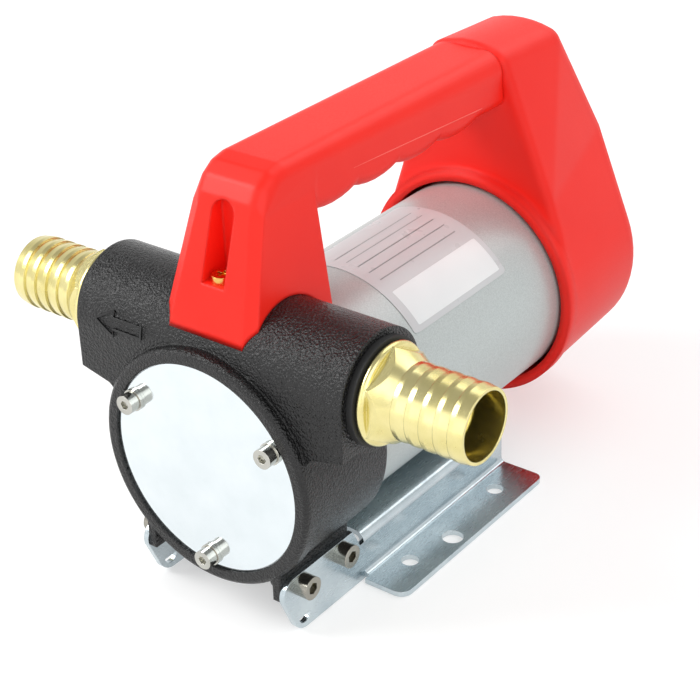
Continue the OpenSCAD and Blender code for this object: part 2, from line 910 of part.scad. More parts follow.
// Rolled steel tube round the motor
module motor_tube() placed() color("#c3c8ca")
  ring_y(tube_r, tube_in_r, head_l, tube_end, 0, motor_axis_z);

magnet_half_angle = 56;
magnet_extra_l = 4;

// Two curved magnets against the tube's inside
module magnets() placed() color("#46464a") {
  reach = 2 * tube_r;
  translate([0, 0, motor_axis_z])
    both_sides()
      intersection() {
        ring_y(tube_in_r - fit, tube_in_r - magnet_t,
               core_y - magnet_extra_l / 2, core_y + core_l + magnet_extra_l / 2);
        slab_y(core_y - magnet_extra_l, core_y + core_l + magnet_extra_l)
          polygon([
            [0, 0],
            [reach, -reach * tan(magnet_half_angle)],
            [reach, reach * tan(magnet_half_angle)]]);
      }
}

slot_w = 3.4;
slot_root = 17;
slot_mouth = 28.6;

// Stack of iron sheets with a slot for each winding
module armature_core() placed() color("#5b5e62") {
  translate([0, 0, motor_axis_z])
    difference() {
      ring_y(armature_r, armature_shaft_r + fit, core_y, core_y + core_l);
      for (k = [0:slot_n - 1])
        rotate([0, 360 * k / slot_n, 0])
          box([-slot_w / 2, core_y - over, slot_root],
              [slot_w / 2, core_y + core_l + over, armature_r + over]);
    }
}

winding_end_l = 9;
winding_in_r = 10;

// Copper in the slots, with the end turns at both ends of the iron
module armature_winding() placed() color("#b5672e") {
  bar_w = slot_w - 4 * fit;
  end_r = winding_end_l / 3;
  translate([0, 0, motor_axis_z]) {
    for (k = [0:slot_n - 1])
      rotate([0, 360 * k / slot_n, 0])
        box([-bar_w / 2, core_y - winding_end_l / 2, slot_root + fit],
            [bar_w / 2, core_y + core_l + winding_end_l / 2, slot_mouth]);
    for (y = [core_y - fit - winding_end_l, core_y + core_l + fit])
      translate([0, y + winding_end_l, 0])
        rotate([90, 0, 0])
          rotate_extrude()
            translate([winding_in_r, 0]) {
              translate([0, end_r])
                square([slot_mouth - winding_in_r, winding_end_l - 2 * end_r]);
              translate([end_r, 0])
                square([slot_mouth - winding_in_r - 2 * end_r, winding_end_l]);
              for (x = [end_r, slot_mouth - winding_in_r - end_r])
                for (z = [end_r, winding_end_l - end_r])
                  translate([x, z])
                    circle(r = end_r, $fn = 32);
            }
  }
}

comm_slit_w = 0.6;
comm_slit_d = 0.8;

// Copper segments that the brushes press on
module commutator() placed() color("#c27a3c") {
  translate([0, 0, motor_axis_z])
    difference() {
      ring_y(commutator_r, armature_shaft_r + fit, comm_y, comm_y + commutator_l);
      for (k = [0:slot_n - 1])
        rotate([0, 360 * k / slot_n, 0])
          box([-comm_slit_w / 2, comm_y - over, commutator_r - comm_slit_d],
              [comm_slit_w / 2, comm_y + commutator_l + over, commutator_r + over]);
    }
}

brush_y = comm_y + commutator_l / 2;
brush_x0 = commutator_r + run;
holder_wall = 1;
holder_set = 2;
holder_gap = 4;
holder_x0 = brush_x0 + holder_set;
holder_x1 = tube_in_r - holder_gap;
brush_gap = 0.1;

// Insulating plate that carries the brush holders
module brush_plate() placed() color("#6b3f22")
  difference() {
    ring_y(spigot_r - fit, commutator_r + holder_set, brush_plate_y,
           brush_plate_y + brush_plate_t, 0, motor_axis_z);
    tie_bolt_places()
      rod_y(m4_r + run, brush_plate_y - over, brush_plate_y + brush_plate_t + over);
  }

// Brass boxes that guide the brushes
module brush_holders() placed() color("#d8c06a") {
  half_w = brush_w / 2 + brush_gap;
  half_t = brush_t / 2 + brush_gap;
  translate([0, brush_y, motor_axis_z])
    both_sides()
      difference() {
        union() {
          box([holder_x0, -half_w - holder_wall, -half_t - holder_wall],
              [holder_x1, half_w + holder_wall, half_t + holder_wall]);
          box([holder_x0 + holder_wall, half_w, -half_t],
              [holder_x1 - holder_wall, brush_plate_y - brush_y, half_t]);
        }
        box([holder_x0 - over, -half_w, -half_t],
            [holder_x1 - holder_wall, half_w, half_t]);
      }
}

module carbon_brushes() placed() color("#2d2d2f") {
  translate([0, brush_y, motor_axis_z])
    both_sides()
      box([brush_x0, -brush_w / 2, -brush_t / 2],
          [brush_x0 + brush_l, brush_w / 2, brush_t / 2]);
}

brush_spring_turns = 5;
brush_spring_r = 2.3;
brush_wire_r = 0.3;

module brush_springs() placed() color("#b4b8bc") {
  x0 = brush_x0 + brush_l + brush_wire_r + brush_gap;
  x1 = holder_x1 - holder_wall - brush_wire_r - brush_gap;
  translate([0, brush_y, motor_axis_z])
    both_sides()
      translate([x0, 0, 0])
        rotate([0, 90, 0])
          coil(brush_spring_turns, brush_spring_r, brush_wire_r, x1 - x0);
}

module cap_screw_places() {
  for (sx = [-1, 1])
    for (sz = [-1, 1])
      translate([sx * cap_screw_a, 0, motor_axis_z + sz * cap_screw_a])
        children();
}

bell_hub_wall = 3;
cap_thread_l = 8;

// Rear end bell with the rear bearing's seat
module end_bell() placed() color("#9a9ea2") {
  difference() {
    union() {
      rod_y(tube_r, bell_y, bell_end, 0, motor_axis_z);
      rod_y(spigot_r, bell_y - bell_spigot_l, bell_end, 0, motor_axis_z);
    }
    difference() {
      rod_y(spigot_r - bell_wall, bell_y - bell_spigot_l - over,
            bell_end - bell_face_l, 0, motor_axis_z);
      rod_y(rear_bearing_r + bell_hub_wall, rear_bearing_y,
            bell_end, 0, motor_axis_z);
      cap_screw_places()
        rod_y(m4_r + bell_hub_wall, bell_end - cap_thread_l - over, bell_end);
    }
    rod_y(rear_bearing_r + fit, rear_bearing_y - over,
          rear_bearing_y + rear_bearing_l + fit, 0, motor_axis_z);
    rod_y(rear_shaft_r + 2 * run, rear_bearing_y, bell_end - over, 0, motor_axis_z);
    tie_bolt_places()
      rod_y(m4_r + fit, bell_y - bell_spigot_l - over, bell_end + over);
    cap_screw_places()
      rod_y(m4_r + fit, bell_end - cap_thread_l, bell_end + over);
  }
}

// Long screws that clamp the tube between head and end bell
module tie_bolts() placed() color("#a9adb1") {
  tie_bolt_places()
    translate([0, bell_end, 0])
      rotate([-90, 0, 0])
        socket_screw(m4_r, bell_end - head_l + tie_thread_l - slice, m4_head_r,
                     m4_head_h, m4_key_w);
}

// Outline of the folded sheet across one side, from the middle out to the flange
module sheet_outline() {
  outer = bend_r + sheet_t;
  top_x = foot_half - outer;
  low_x = foot_half + bend_r;
  translate([0, foot_top - sheet_t])
    square([top_x, sheet_t]);
  translate([foot_half - sheet_t, outer])
    square([sheet_t, foot_top - 2 * outer]);
  bend_outline(top_x, foot_top - outer, 0);
  bend_outline(low_x, outer, 180);
}

// Quarter of a bend round the point x, z, turned by the angle a
module bend_outline(x, z, a) {
  outer = bend_r + sheet_t;
  translate([x, z])
    rotate(a)
      intersection() {
        difference() {
          circle(r = outer);
          circle(r = bend_r);
        }
        square(outer);
      }
}

ear_nose_r = 6;
ear_heel_r = 7.6;
ear_heel_y = 11.3;
ear_tail_y = 38;
ear_vent_r = 3;
ear_vent_y = 9.8;
ear_vent_z = 5.2;

// Outline of one ear in Y and Z: a round nose with a round heel below it
module ear_outline() {
  nose = [ear_nose_r - ear_nose, ear_h - ear_nose_r];
  heel = [ear_heel_y, ear_heel_r];
  run_down = heel - nose;
  down_len = sqrt(run_down[0] * run_down[0] + run_down[1] * run_down[1]);
  // Direction square to the line that touches both rounds
  touch_angle = atan2(run_down[1], run_down[0]) - acos((ear_nose_r - ear_heel_r) / down_len);
  touch = [cos(touch_angle), sin(touch_angle)];
  step = ear_h - (foot_top - bend_r - sheet_t);
  difference() {
    union() {
      translate(nose)
        circle(r = ear_nose_r);
      translate(heel)
        circle(r = ear_heel_r);
      polygon([
        [nose[0], ear_h - fit / 2],
        nose + (ear_nose_r - fit) * touch,
        heel + (ear_heel_r - fit) * touch,
        [heel[0], fit / 2],
        [plate_front + over, fit / 2],
        [plate_front + over, ear_h - step],
        [ear_tail_y + step / 2, ear_h - step],
        [ear_tail_y, ear_h - fit / 2]]);
    }
    // Half round vent low in the nose
    intersection() {
      translate([ear_vent_y, ear_vent_z])
        circle(r = ear_vent_r);
      translate([ear_vent_y - 2 * ear_vent_r, ear_vent_z - 2 * ear_vent_r])
        square([4 * ear_vent_r, 2 * ear_vent_r]);
    }
  }
}

// Plan of the right flange, with its two outer corners round
module flange_plan() {
  x0 = foot_half + bend_r;
  x1 = flange_span / 2;
  difference() {
    translate([x0, flange_front])
      square([x1 - x0, flange_l]);
    corner_cut(x1, flange_front, flange_corner_r, 1);
    corner_cut(x1, flange_back, flange_rear_corner_r, -1);
  }
}

// Cutter that rounds the corner at x, y to radius r; s is the side it faces
module corner_cut(x, y, r, s) {
  difference() {
    translate([x - r, s > 0 ? y - over : y - r])
      square([r + over, r + over]);
    translate([x - r, y + s * r])
      circle(r = r);
  }
}

// Folded foot: plate under the motor, two walls, two flanges and two ears
module foot_bracket() placed() color("#c9d3d8") {
  difference() {
    both_sides() {
      slab_y(plate_front, flange_back)
        sheet_outline();
      linear_extrude(height = sheet_t)
        flange_plan();
      slab_x(foot_half - sheet_t, foot_half)
        ear_outline();
    }
    both_sides() {
      ear_screw_places()
        rod_x(m5_r + 2 * fit, foot_half - sheet_t - over, foot_half + over);
      for (k = [0:1])
        rod_z(hole_r, -over, sheet_t + over, hole_span_x / 2,
              hole_front + k * hole_span_y);
      rod_z(mid_r, -over, sheet_t + over, mid_span_x / 2, mid_y);
    }
  }
}

module bracket_screws() placed() color("#bfc3c6") {
  both_sides()
    ear_screw_places()
      translate([foot_half, 0, 0])
        rotate([0, 90, 0])
          socket_screw(m5_r, bracket_screw_l, m5_head_r, m5_head_h, m5_key_w);
}

// Handle
foot_rise = 9.2;
leg_top_share = 0.743;
floor_share = 0.316;
recess_share = 0.728;
leg_foot_z = port_z + foot_rise;
leg_h = grip_top - leg_foot_z;
leg_top_z = leg_foot_z + leg_h * leg_top_share;
leg_rear_bevel = 2;
grip_front_y = 34;
grip_end_y = cap_front + slice;
handle_floor_z = leg_foot_z + leg_h * floor_share;
recess_top_z = leg_foot_z + leg_h * recess_share;
recess_back_y = 23;
saddle_gap = 0.1;
finger_n = 4;
finger_first = 58.2;
finger_steps = 6;
shoulder_steps = 4;
// Tongue that enters the cap
tongue_w = 20;
tongue_h = 11;
tongue_in = 7;

// Size at distance y along the grip, running from a at its front to b at the cap
function grip_at(y, a, b) =
  a + (b - a) * (y - grip_front_y) / (grip_end_y - grip_front_y);

// Tongue at the grip's end, grown by g all round
module tongue(g) {
  tongue_z = grip_top - grip_fall - grip_h / 2;
  box([-tongue_w / 2 - g, cap_front - 2 * cap_lean - g, tongue_z - tongue_h / 2 - g],
      [tongue_w / 2 + g, cap_front + tongue_in, tongue_z + tongue_h / 2 + g]);
}

// One slice of the leg at height z
module leg_slice(z, y0, y1, w) {
  translate([0, 0, z])
    linear_extrude(height = slice)
      polygon([
        [-w / 2 + leg_bevel, y0],
        [w / 2 - leg_bevel, y0],
        [w / 2, y0 + leg_bevel_d],
        [w / 2, y1 - leg_rear_bevel],
        [w / 2 - leg_rear_bevel, y1],
        [-w / 2 + leg_rear_bevel, y1],
        [-w / 2, y1 - leg_rear_bevel],
        [-w / 2, y0 + leg_bevel_d]]);
}

// One slice of the grip at distance y, its underside raised by rise
module grip_slice(y, rise) {
  w = grip_at(y, grip_w, grip_end_w);
  r = grip_at(y, grip_r, grip_end_r);
  top = grip_at(y, grip_top, grip_top - grip_fall);
  for (s = [-1, 1]) {
    rod_y(r, y, y + slice, s * (w / 2 - r), top - r, $fn = hull_fn);
    rod_y(grip_low_r, y, y + slice, s * (w / 2 - grip_low_r),
          top - grip_h + rise + grip_low_r, $fn = hull_fn);
  }
}

// Stretch of the grip with one finger swell under it
module grip_swell(k) {
  y0 = finger_first + (k - 1 / 2) * finger_pitch;
  hull()
    for (j = [0:finger_steps])
      grip_slice(y0 + finger_pitch * j / finger_steps,
                 finger_depth * pow(2 * j / finger_steps - 1, 2));
}

// Rounded top of the leg, from its front to the grip
module leg_shoulder(y0, y1) {
  hull() {
    leg_slice(leg_top_z, y0, y1, leg_top_w);
    for (s = [-1, 1])
      for (k = [0:shoulder_steps]) {
        a = 90 * k / shoulder_steps;
        translate([s * (grip_w / 2 - grip_r),
                   y0 + shoulder_r - (shoulder_r - grip_r) * cos(a),
                   grip_top - shoulder_r + (shoulder_r - grip_r) * sin(a)])
          sphere(r = grip_r, $fn = hull_fn);
      }
    grip_slice(y1 - slice, 0);
  }
}

// Moulded handle: leg with a saddle on the port body, and a grip with finger swells
module handle() placed() color("#f4453c") {
  y1 = leg_toe + leg_d;
  difference() {
    union() {
      hull() {
        leg_slice(leg_foot_z, leg_toe, y1, leg_w);
        leg_slice(leg_top_z, leg_toe + leg_lean, y1 - leg_rear_lean, leg_top_w);
      }
      leg_shoulder(leg_toe + leg_lean, y1 - leg_rear_lean);
      for (k = [0:finger_n - 1])
        grip_swell(k);
      hull() {
        grip_slice(finger_first + (finger_n - 1 / 2) * finger_pitch, finger_depth);
        grip_slice(grip_end_y, finger_depth);
      }
    }
    // Saddle over the port body
    rod_x(port_r + saddle_gap, -leg_w, leg_w, port_back, port_z);
    // End face against the leaning front of the cap
    slab_x(-grip_end_w, grip_end_w)
      polygon([
        [cap_front - cap_lean - fit, cap_top + cap_lean],
        [cap_front - cap_lean - fit, cap_lean_z],
        [cap_front - fit, cap_knee_z],
        [cap_back, cap_knee_z],
        [cap_back, cap_top + cap_lean]]);
    // Screw recess in the leg's front
    slab_y(-over, recess_back_y) {
      translate([-recess_w / 2, handle_floor_z])
        square([recess_w, recess_top_z - handle_floor_z]);
      translate([0, recess_top_z])
        circle(r = recess_w / 2);
    }
    rod_z(m4_r + 2 * fit, port_z, handle_floor_z + over, 0, handle_screw_y);
  }
  tongue(0);
}

pan_head_r = 3.7;
pan_head_h = 2.6;
pan_slot_w = 1;
pan_slot_d = 1.1;

// Plated screw that holds the handle to the head
module handle_screw() placed() color("#d9b24a") {
  translate([0, handle_screw_y, handle_floor_z])
    difference() {
      union() {
        rod_z(m4_r, -handle_screw_l, slice);
        rod_z(pan_head_r, 0, pan_head_h);
      }
      for (a = [0, 90])
        rotate([0, 0, a])
          box([-m4_r, -pan_slot_w / 2, pan_head_h - pan_slot_d],
              [m4_r, pan_slot_w / 2, pan_head_h + over]);
    }
}

// End cap
cap_back = cap_front + cap_l;
cap_top = grip_top + cap_rise;
knee_share = 0.4;
back_knee_share = 0.522;
cap_knee_z = motor_axis_z + (cap_top - motor_axis_z) * knee_share;
cap_back_knee_z = motor_axis_z + (cap_top - motor_axis_z) * back_knee_share;
cap_back_knee_x = 25.2;
cap_back_drop = 1.8;
cap_crown_z = cap_top - cap_crown_r;
cap_back_lean = 17.5;
cap_corner_z = cap_crown_z
  + sqrt((cap_crown_r - cap_corner_r) * (cap_crown_r - cap_corner_r)
         - cap_corner_x * cap_corner_x);
cap_lean_z = cap_corner_z - cap_corner_r + cap_edge_r;
crown_half_angle = asin(cap_corner_x / (cap_crown_r - cap_corner_r));
crown_steps = 6;

// Direction square to the cap's straight side
side_run = [cap_corner_x, cap_corner_z - motor_axis_z];
side_len = sqrt(side_run[0] * side_run[0] + side_run[1] * side_run[1]);
side_angle = atan2(side_run[1], side_run[0])
  - acos((cap_r - cap_corner_r) / side_len);

// Half width of the cap at height z, measured to a ball of radius r inside the side
function knee_x(r, z) =
  (cap_r - r - (z - motor_axis_z) * sin(side_angle)) / cos(side_angle);

// Round plate for a hull, with its edges rounded, drawn in by g
module cap_coin(r, y0, y1, x, z, g) {
  edge = cap_edge_r;
  for (a = [0, 45, 90])
    rod_y(r - g - edge * (1 - cos(a)), y0 + g + edge * (1 - sin(a)),
          y1 - g - edge * (1 - sin(a)), x, z, $fn = 2 * hull_fn);
}

// Two round plates for a hull, the one at the back lower than the one in front
module cap_pair(x, z, g) {
  y0 = cap_front - cap_lean;
  y1 = cap_back - cap_back_lean;
  plate_t = 2 * cap_edge_r + 2 * g + slice;
  cap_coin(cap_corner_r, y0, y0 + plate_t, x, z, g);
  cap_coin(cap_corner_r, y1 - plate_t, y1, x, z - cap_back_drop, g);
}

// Balls at the cap's knee, where its front and back start to lean
module cap_knee(g) {
  ball_r = cap_edge_r;
  for (s = [-1, 1]) {
    translate([s * (knee_x(ball_r, cap_knee_z) - g / cos(side_angle)),
               cap_front + g + ball_r, cap_knee_z])
      sphere(r = ball_r, $fn = hull_fn);
    translate([s * (cap_back_knee_x - ball_r - g),
               cap_back - g - ball_r, cap_back_knee_z])
      sphere(r = ball_r, $fn = hull_fn);
  }
}

// Whole cap as a solid, drawn in by g all round
module cap_form(g) {
  plate_t = 2 * cap_edge_r + 2 * g + slice;
  hull() {
    cap_coin(cap_r, cap_front, cap_front + plate_t, 0, motor_axis_z, g);
    cap_coin(cap_back_r, cap_back - plate_t, cap_back, 0, motor_axis_z, g);
    cap_knee(g);
  }
  hull() {
    cap_knee(g);
    for (k = [0:crown_steps]) {
      a = crown_half_angle * (2 * k / crown_steps - 1);
      cap_pair((cap_crown_r - cap_corner_r) * sin(a),
               cap_crown_z + (cap_crown_r - cap_corner_r) * cos(a), g);
    }
  }
}

post_r = 5.4;
head_bore_r = 4.2;
head_sink = 18;

// Cap's own place for the switch
switch_z = motor_axis_z + switch_rise;
switch_body_w = 12.6;
switch_body_h = 18.8;
switch_body_l = 14;
switch_rim_t = 1.8;
cable_z = motor_axis_z - cable_drop;
grommet_r = 5.6;
grommet_flange_r = 7.6;
grommet_flange_t = 2;
grommet_tail_l = 2;

// Moulded cap over the motor's rear end
module end_cap() placed() color("#f4453c") {
  difference() {
    union() {
      difference() {
        cap_form(0);
        cap_form(cap_wall);
      }
      cap_screw_places()
        rod_y(post_r, bell_end + fit, cap_back - cap_wall / 2);
      rod_y(rim_r, cap_front - rim_l, cap_front + cap_wall / 2, 0, motor_axis_z);
    }
    // Mouth round the motor tube
    rod_y(tube_r + rim_gap, cap_front - rim_l - over, cap_front + cap_wall + over,
          0, motor_axis_z);
    // Mouth for the grip's tongue
    tongue(2 * fit);
    // Screws, with their heads sunk from behind
    cap_screw_places() {
      rod_y(m4_r + 2 * fit, bell_end - over, cap_back + over);
      rod_y(head_bore_r, cap_back - head_sink, cap_back + over);
    }
    // Switch and cable
    box([-switch_body_w / 2 - fit, cap_back - cap_wall - over,
         switch_z - switch_body_h / 2 - fit],
        [switch_body_w / 2 + fit, cap_back + over,
         switch_z + switch_body_h / 2 + fit]);
    rod_y(grommet_r + fit, cap_back - cap_wall - over, cap_back + over, 0, cable_z);
  }
}

cap_screw_l = cap_back - head_sink - bell_end + cap_thread_l - slice;

module cap_screws() placed() color("#a9adb1") {
  cap_screw_places()
    translate([0, cap_back - head_sink, 0])
      rotate([-90, 0, 0])
        socket_screw(m4_r, cap_screw_l, m4_head_r, m4_head_h, m4_key_w);
}

rocker_w = 9.6;
rocker_h = 15.6;
rocker_axis_sink = 1;
rocker_r = 9.2;

// Frame and body of the rocker switch
module switch_frame() placed() color("#1a1a1b") {
  translate([0, cap_back, switch_z])
    difference() {
      union() {
        box([-switch_w / 2, 0, -switch_h / 2],
            [switch_w / 2, switch_rim_t, switch_h / 2]);
        box([-switch_body_w / 2, -switch_body_l, -switch_body_h / 2],
            [switch_body_w / 2, 0, switch_body_h / 2]);
      }
      box([-rocker_w / 2 - run, -rocker_pocket_l, -rocker_h / 2 - 3 * run],
          [rocker_w / 2 + run, switch_rim_t + over, rocker_h / 2 + 3 * run]);
      both_sides()
        rod_x(rocker_pin_r + fit, 0, rocker_w / 2 + run + rocker_pin_l + fit,
              -rocker_axis_sink, 0);
    }
}

rocker_pocket_l = 8;
rocker_pin_r = 1;
rocker_pin_l = 0.8;

// Rocker on its two pins, at rest with its lower end pressed in
module switch_rocker() placed() color("#232324") {
  dish_r = 26;
  translate([0, cap_back - rocker_axis_sink, switch_z])
    rotate([-rocker_tip, 0, 0]) {
    difference() {
      slab_x(-rocker_w / 2, rocker_w / 2)
        polygon([
          [-rocker_h / 4, -rocker_h / 4],
          [-rocker_h / 4, rocker_h / 4],
          [rocker_axis_sink - slice, rocker_h / 2],
          [rocker_axis_sink + switch_rim_t + slice, rocker_h / 2],
          [rocker_axis_sink + switch_rim_t + slice, -rocker_h / 2],
          [rocker_axis_sink - slice, -rocker_h / 2]]);
      rod_x(dish_r, -rocker_w, rocker_w,
            rocker_axis_sink + switch_rim_t + dish_r - slice / 2, 0);
    }
    both_sides()
      rod_x(rocker_pin_r, 0, rocker_w / 2 + run + rocker_pin_l);
  }
}

tab_w = 4.8;
tab_t = 0.8;
tab_l = 8;
tab_pitch = 7;

// Two flat tabs at the back of the switch
module switch_terminals() placed() color("#d8c06a") {
  for (s = [-1, 1])
    translate([0, cap_back - switch_body_l, switch_z + s * tab_pitch / 2])
      box([-tab_w / 2, -tab_l, -tab_t / 2], [tab_w / 2, 0, tab_t / 2]);
}

// Rubber ring where the cable leaves
module cable_grommet() placed() color("#151515") {
  translate([0, cap_back, cable_z])
    difference() {
      union() {
        rod_y(grommet_flange_r, 0, grommet_flange_t);
        rod_y(grommet_r, -cap_wall - fit, grommet_flange_t);
        rod_y(grommet_flange_r, -cap_wall - grommet_tail_l, -cap_wall - fit);
      }
      rod_y(cable_r, -cap_wall - grommet_tail_l - over, grommet_flange_t + over);
    }
}

pump_housing();
front_cover();
cover_seal();
cover_washers();
cover_screws();
inlet_tail();
outlet_tail();
inlet_gasket();
outlet_gasket();
inlet_strainer();
bypass_poppet();
bypass_spring();
bypass_retainer();
pump_rotor();
vanes();
rotor_key();
shaft();
shaft_seal();
front_bearing();
rear_bearing();
motor_tube();
magnets();
armature_core();
armature_winding();
commutator();
brush_plate();
brush_holders();
carbon_brushes();
brush_springs();
end_bell();
tie_bolts();
foot_bracket();
bracket_screws();
handle();
handle_screw();
end_cap();
cap_screws();
switch_frame();
switch_rocker();
switch_terminals();
cable_grommet();
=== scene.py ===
"""Looks of a portable fuel transfer pump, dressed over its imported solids.

Lengths in the classes are millimetres in the part's own frame: X along the hose
tails, Y along the motor from the cover to the end cap, Z up from the floor.
"""

import logging
import math
from dataclasses import dataclass, field
from enum import Enum
from typing import Any, Callable, Optional, Sequence, Union

import bmesh
import bpy
from mathutils import Matrix, Vector


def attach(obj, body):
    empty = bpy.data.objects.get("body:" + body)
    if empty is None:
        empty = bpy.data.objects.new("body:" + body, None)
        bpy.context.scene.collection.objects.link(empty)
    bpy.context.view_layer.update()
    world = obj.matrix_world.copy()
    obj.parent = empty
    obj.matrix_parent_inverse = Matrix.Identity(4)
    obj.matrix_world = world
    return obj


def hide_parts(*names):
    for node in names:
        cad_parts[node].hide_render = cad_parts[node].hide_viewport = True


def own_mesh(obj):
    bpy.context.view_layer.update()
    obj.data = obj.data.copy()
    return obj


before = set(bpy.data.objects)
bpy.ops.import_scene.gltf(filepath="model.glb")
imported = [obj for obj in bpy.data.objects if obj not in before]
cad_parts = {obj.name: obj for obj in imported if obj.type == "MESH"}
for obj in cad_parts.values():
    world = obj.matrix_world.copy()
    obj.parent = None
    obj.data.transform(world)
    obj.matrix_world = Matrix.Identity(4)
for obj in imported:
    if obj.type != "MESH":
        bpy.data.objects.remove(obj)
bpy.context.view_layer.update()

LOG = logging.getLogger("fuel_pump")
MM = 0.001
PUMP = "pump_body"
ROCKER = "rocker"
# Edges flatter than this are shaded smooth, in degrees
CREASED, ROUNDED = 35.0, 60.0

Point = tuple[float, float, float]
Feed = Union[float, Sequence[float], bpy.types.NodeSocket, bpy.types.Node]
Feeds = dict[Any, Feed]

# Inputs and output of a Mix node that mixes colours, which share their names
SHARE, FIRST, SECOND, MIXED = 0, 6, 7, 2
# Output of the bands that gives their height, and bands to the metre at scale 1
BAND_HEIGHT = 1
BAND_SCALE = 20
# Nearly all of a cloud pattern's values lie between these
CLOUD_LOW, CLOUD_HIGH = 0.3, 0.7
EDGE_RAYS = 6
WHITE = (1.0, 1.0, 1.0, 1.0)


class Kind(Enum):
    """Kinds of shader node, named for what they do here."""

    PLACE = "ShaderNodeTexCoord"
    STRETCH = "ShaderNodeMapping"
    CLOUDS = "ShaderNodeTexNoise"
    CELLS = "ShaderNodeTexVoronoi"
    BANDS = "ShaderNodeTexWave"
    RANGE = "ShaderNodeMapRange"
    MIX = "ShaderNodeMix"
    NUMBER = "ShaderNodeMath"
    VECTOR = "ShaderNodeVectorMath"
    SPLIT = "ShaderNodeSeparateXYZ"
    SOFT_EDGE = "ShaderNodeBevel"
    RELIEF = "ShaderNodeBump"
    RAY = "ShaderNodeLightPath"
    GLOW = "ShaderNodeEmission"
    PRINCIPLED = "ShaderNodeBsdfPrincipled"
    BOTH = "ShaderNodeAddShader"
    MATERIAL = "ShaderNodeOutputMaterial"
    BACKGROUND = "ShaderNodeBackground"
    WORLD = "ShaderNodeOutputWorld"


class Axis(Enum):
    """Axes along which a pattern can run."""

    X = "X"
    Y = "Y"


class Part(Enum):
    """Parts of a mesh that can be selected."""

    FACE = "FACE"
    EDGE = "EDGE"
    VERTEX = "VERT"


def linear(code: str) -> tuple[float, float, float, float]:
    """Turns an sRGB hex colour into Blender's linear values.

    Args:
        code: Colour such as "#c9ccce".

    Returns:
        Red, green, blue and alpha, linear.
    """
    shares = [int(code[i:i + 2], 16) / 255 for i in (1, 3, 5)]
    # The sRGB standard's curve: straight near black, a power above it
    red, green, blue = (c / 12.92 if c <= 0.04045 else ((c + 0.055) / 1.055) ** 2.4
                        for c in shares)
    return (red, green, blue, 1.0)


def per_mm(size: float) -> float:
    """Gives the pattern scale whose features are size millimetres apart."""
    return 1.0 / (size * MM)


def add(tree: bpy.types.NodeTree, kind: Kind, feeds: Optional[Feeds] = None,
        **settings: Any) -> bpy.types.Node:
    """Adds one shader node with its settings, values and links.

    Args:
        tree: Node tree that takes the node.
        kind: Kind of node.
        feeds: For each input, by name or number, a value, or the socket or node that
            feeds it. Of a node, the first output is taken.
        settings: Properties of the node.

    Returns:
        The new node.
    """
    node = tree.nodes.new(kind.value)
    for name, value in settings.items():
        setattr(node, name, value)
    for key, value in (feeds or {}).items():
        if isinstance(value, bpy.types.Node):
            value = value.outputs[0]
        if isinstance(value, bpy.types.NodeSocket):
            tree.links.new(value, node.inputs[key])
        else:
            node.inputs[key].default_value = value
    return node


@dataclass(frozen=True)
class Finish:
    """A finish of one real material; each kind of surface adds its own detail."""

    name: str
    colour: str
    roughness: float = 0.5
    metallic: float = 0.0

    def make(self) -> bpy.types.Material:
        """Builds the material, once for each name.

        Returns:
            The material with its nodes.
        """
        known = bpy.data.materials.get(self.name)
        if known:
            return known
        material = bpy.data.materials.new(self.name)
        material.use_nodes = True
        tree = material.node_tree
        tree.nodes.clear()
        place = add(tree, Kind.PLACE).outputs["Object"]
        feeds = {"Base Color": linear(self.colour), "Roughness": self.roughness,
                 "Metallic": self.metallic, **self.detail(tree, place)}
        add(tree, Kind.MATERIAL, {"Surface": add(tree, Kind.PRINCIPLED, feeds)})
        return material

    def detail(self, tree: bpy.types.NodeTree, place: bpy.types.NodeSocket) -> Feeds:
        """Adds the surface's patterns.

        Args:
            tree: Node tree of the material.
            place: Object coordinates, in metres.

        Returns:
            What feeds the shader's inputs; a plain finish feeds nothing.
        """
        return {}


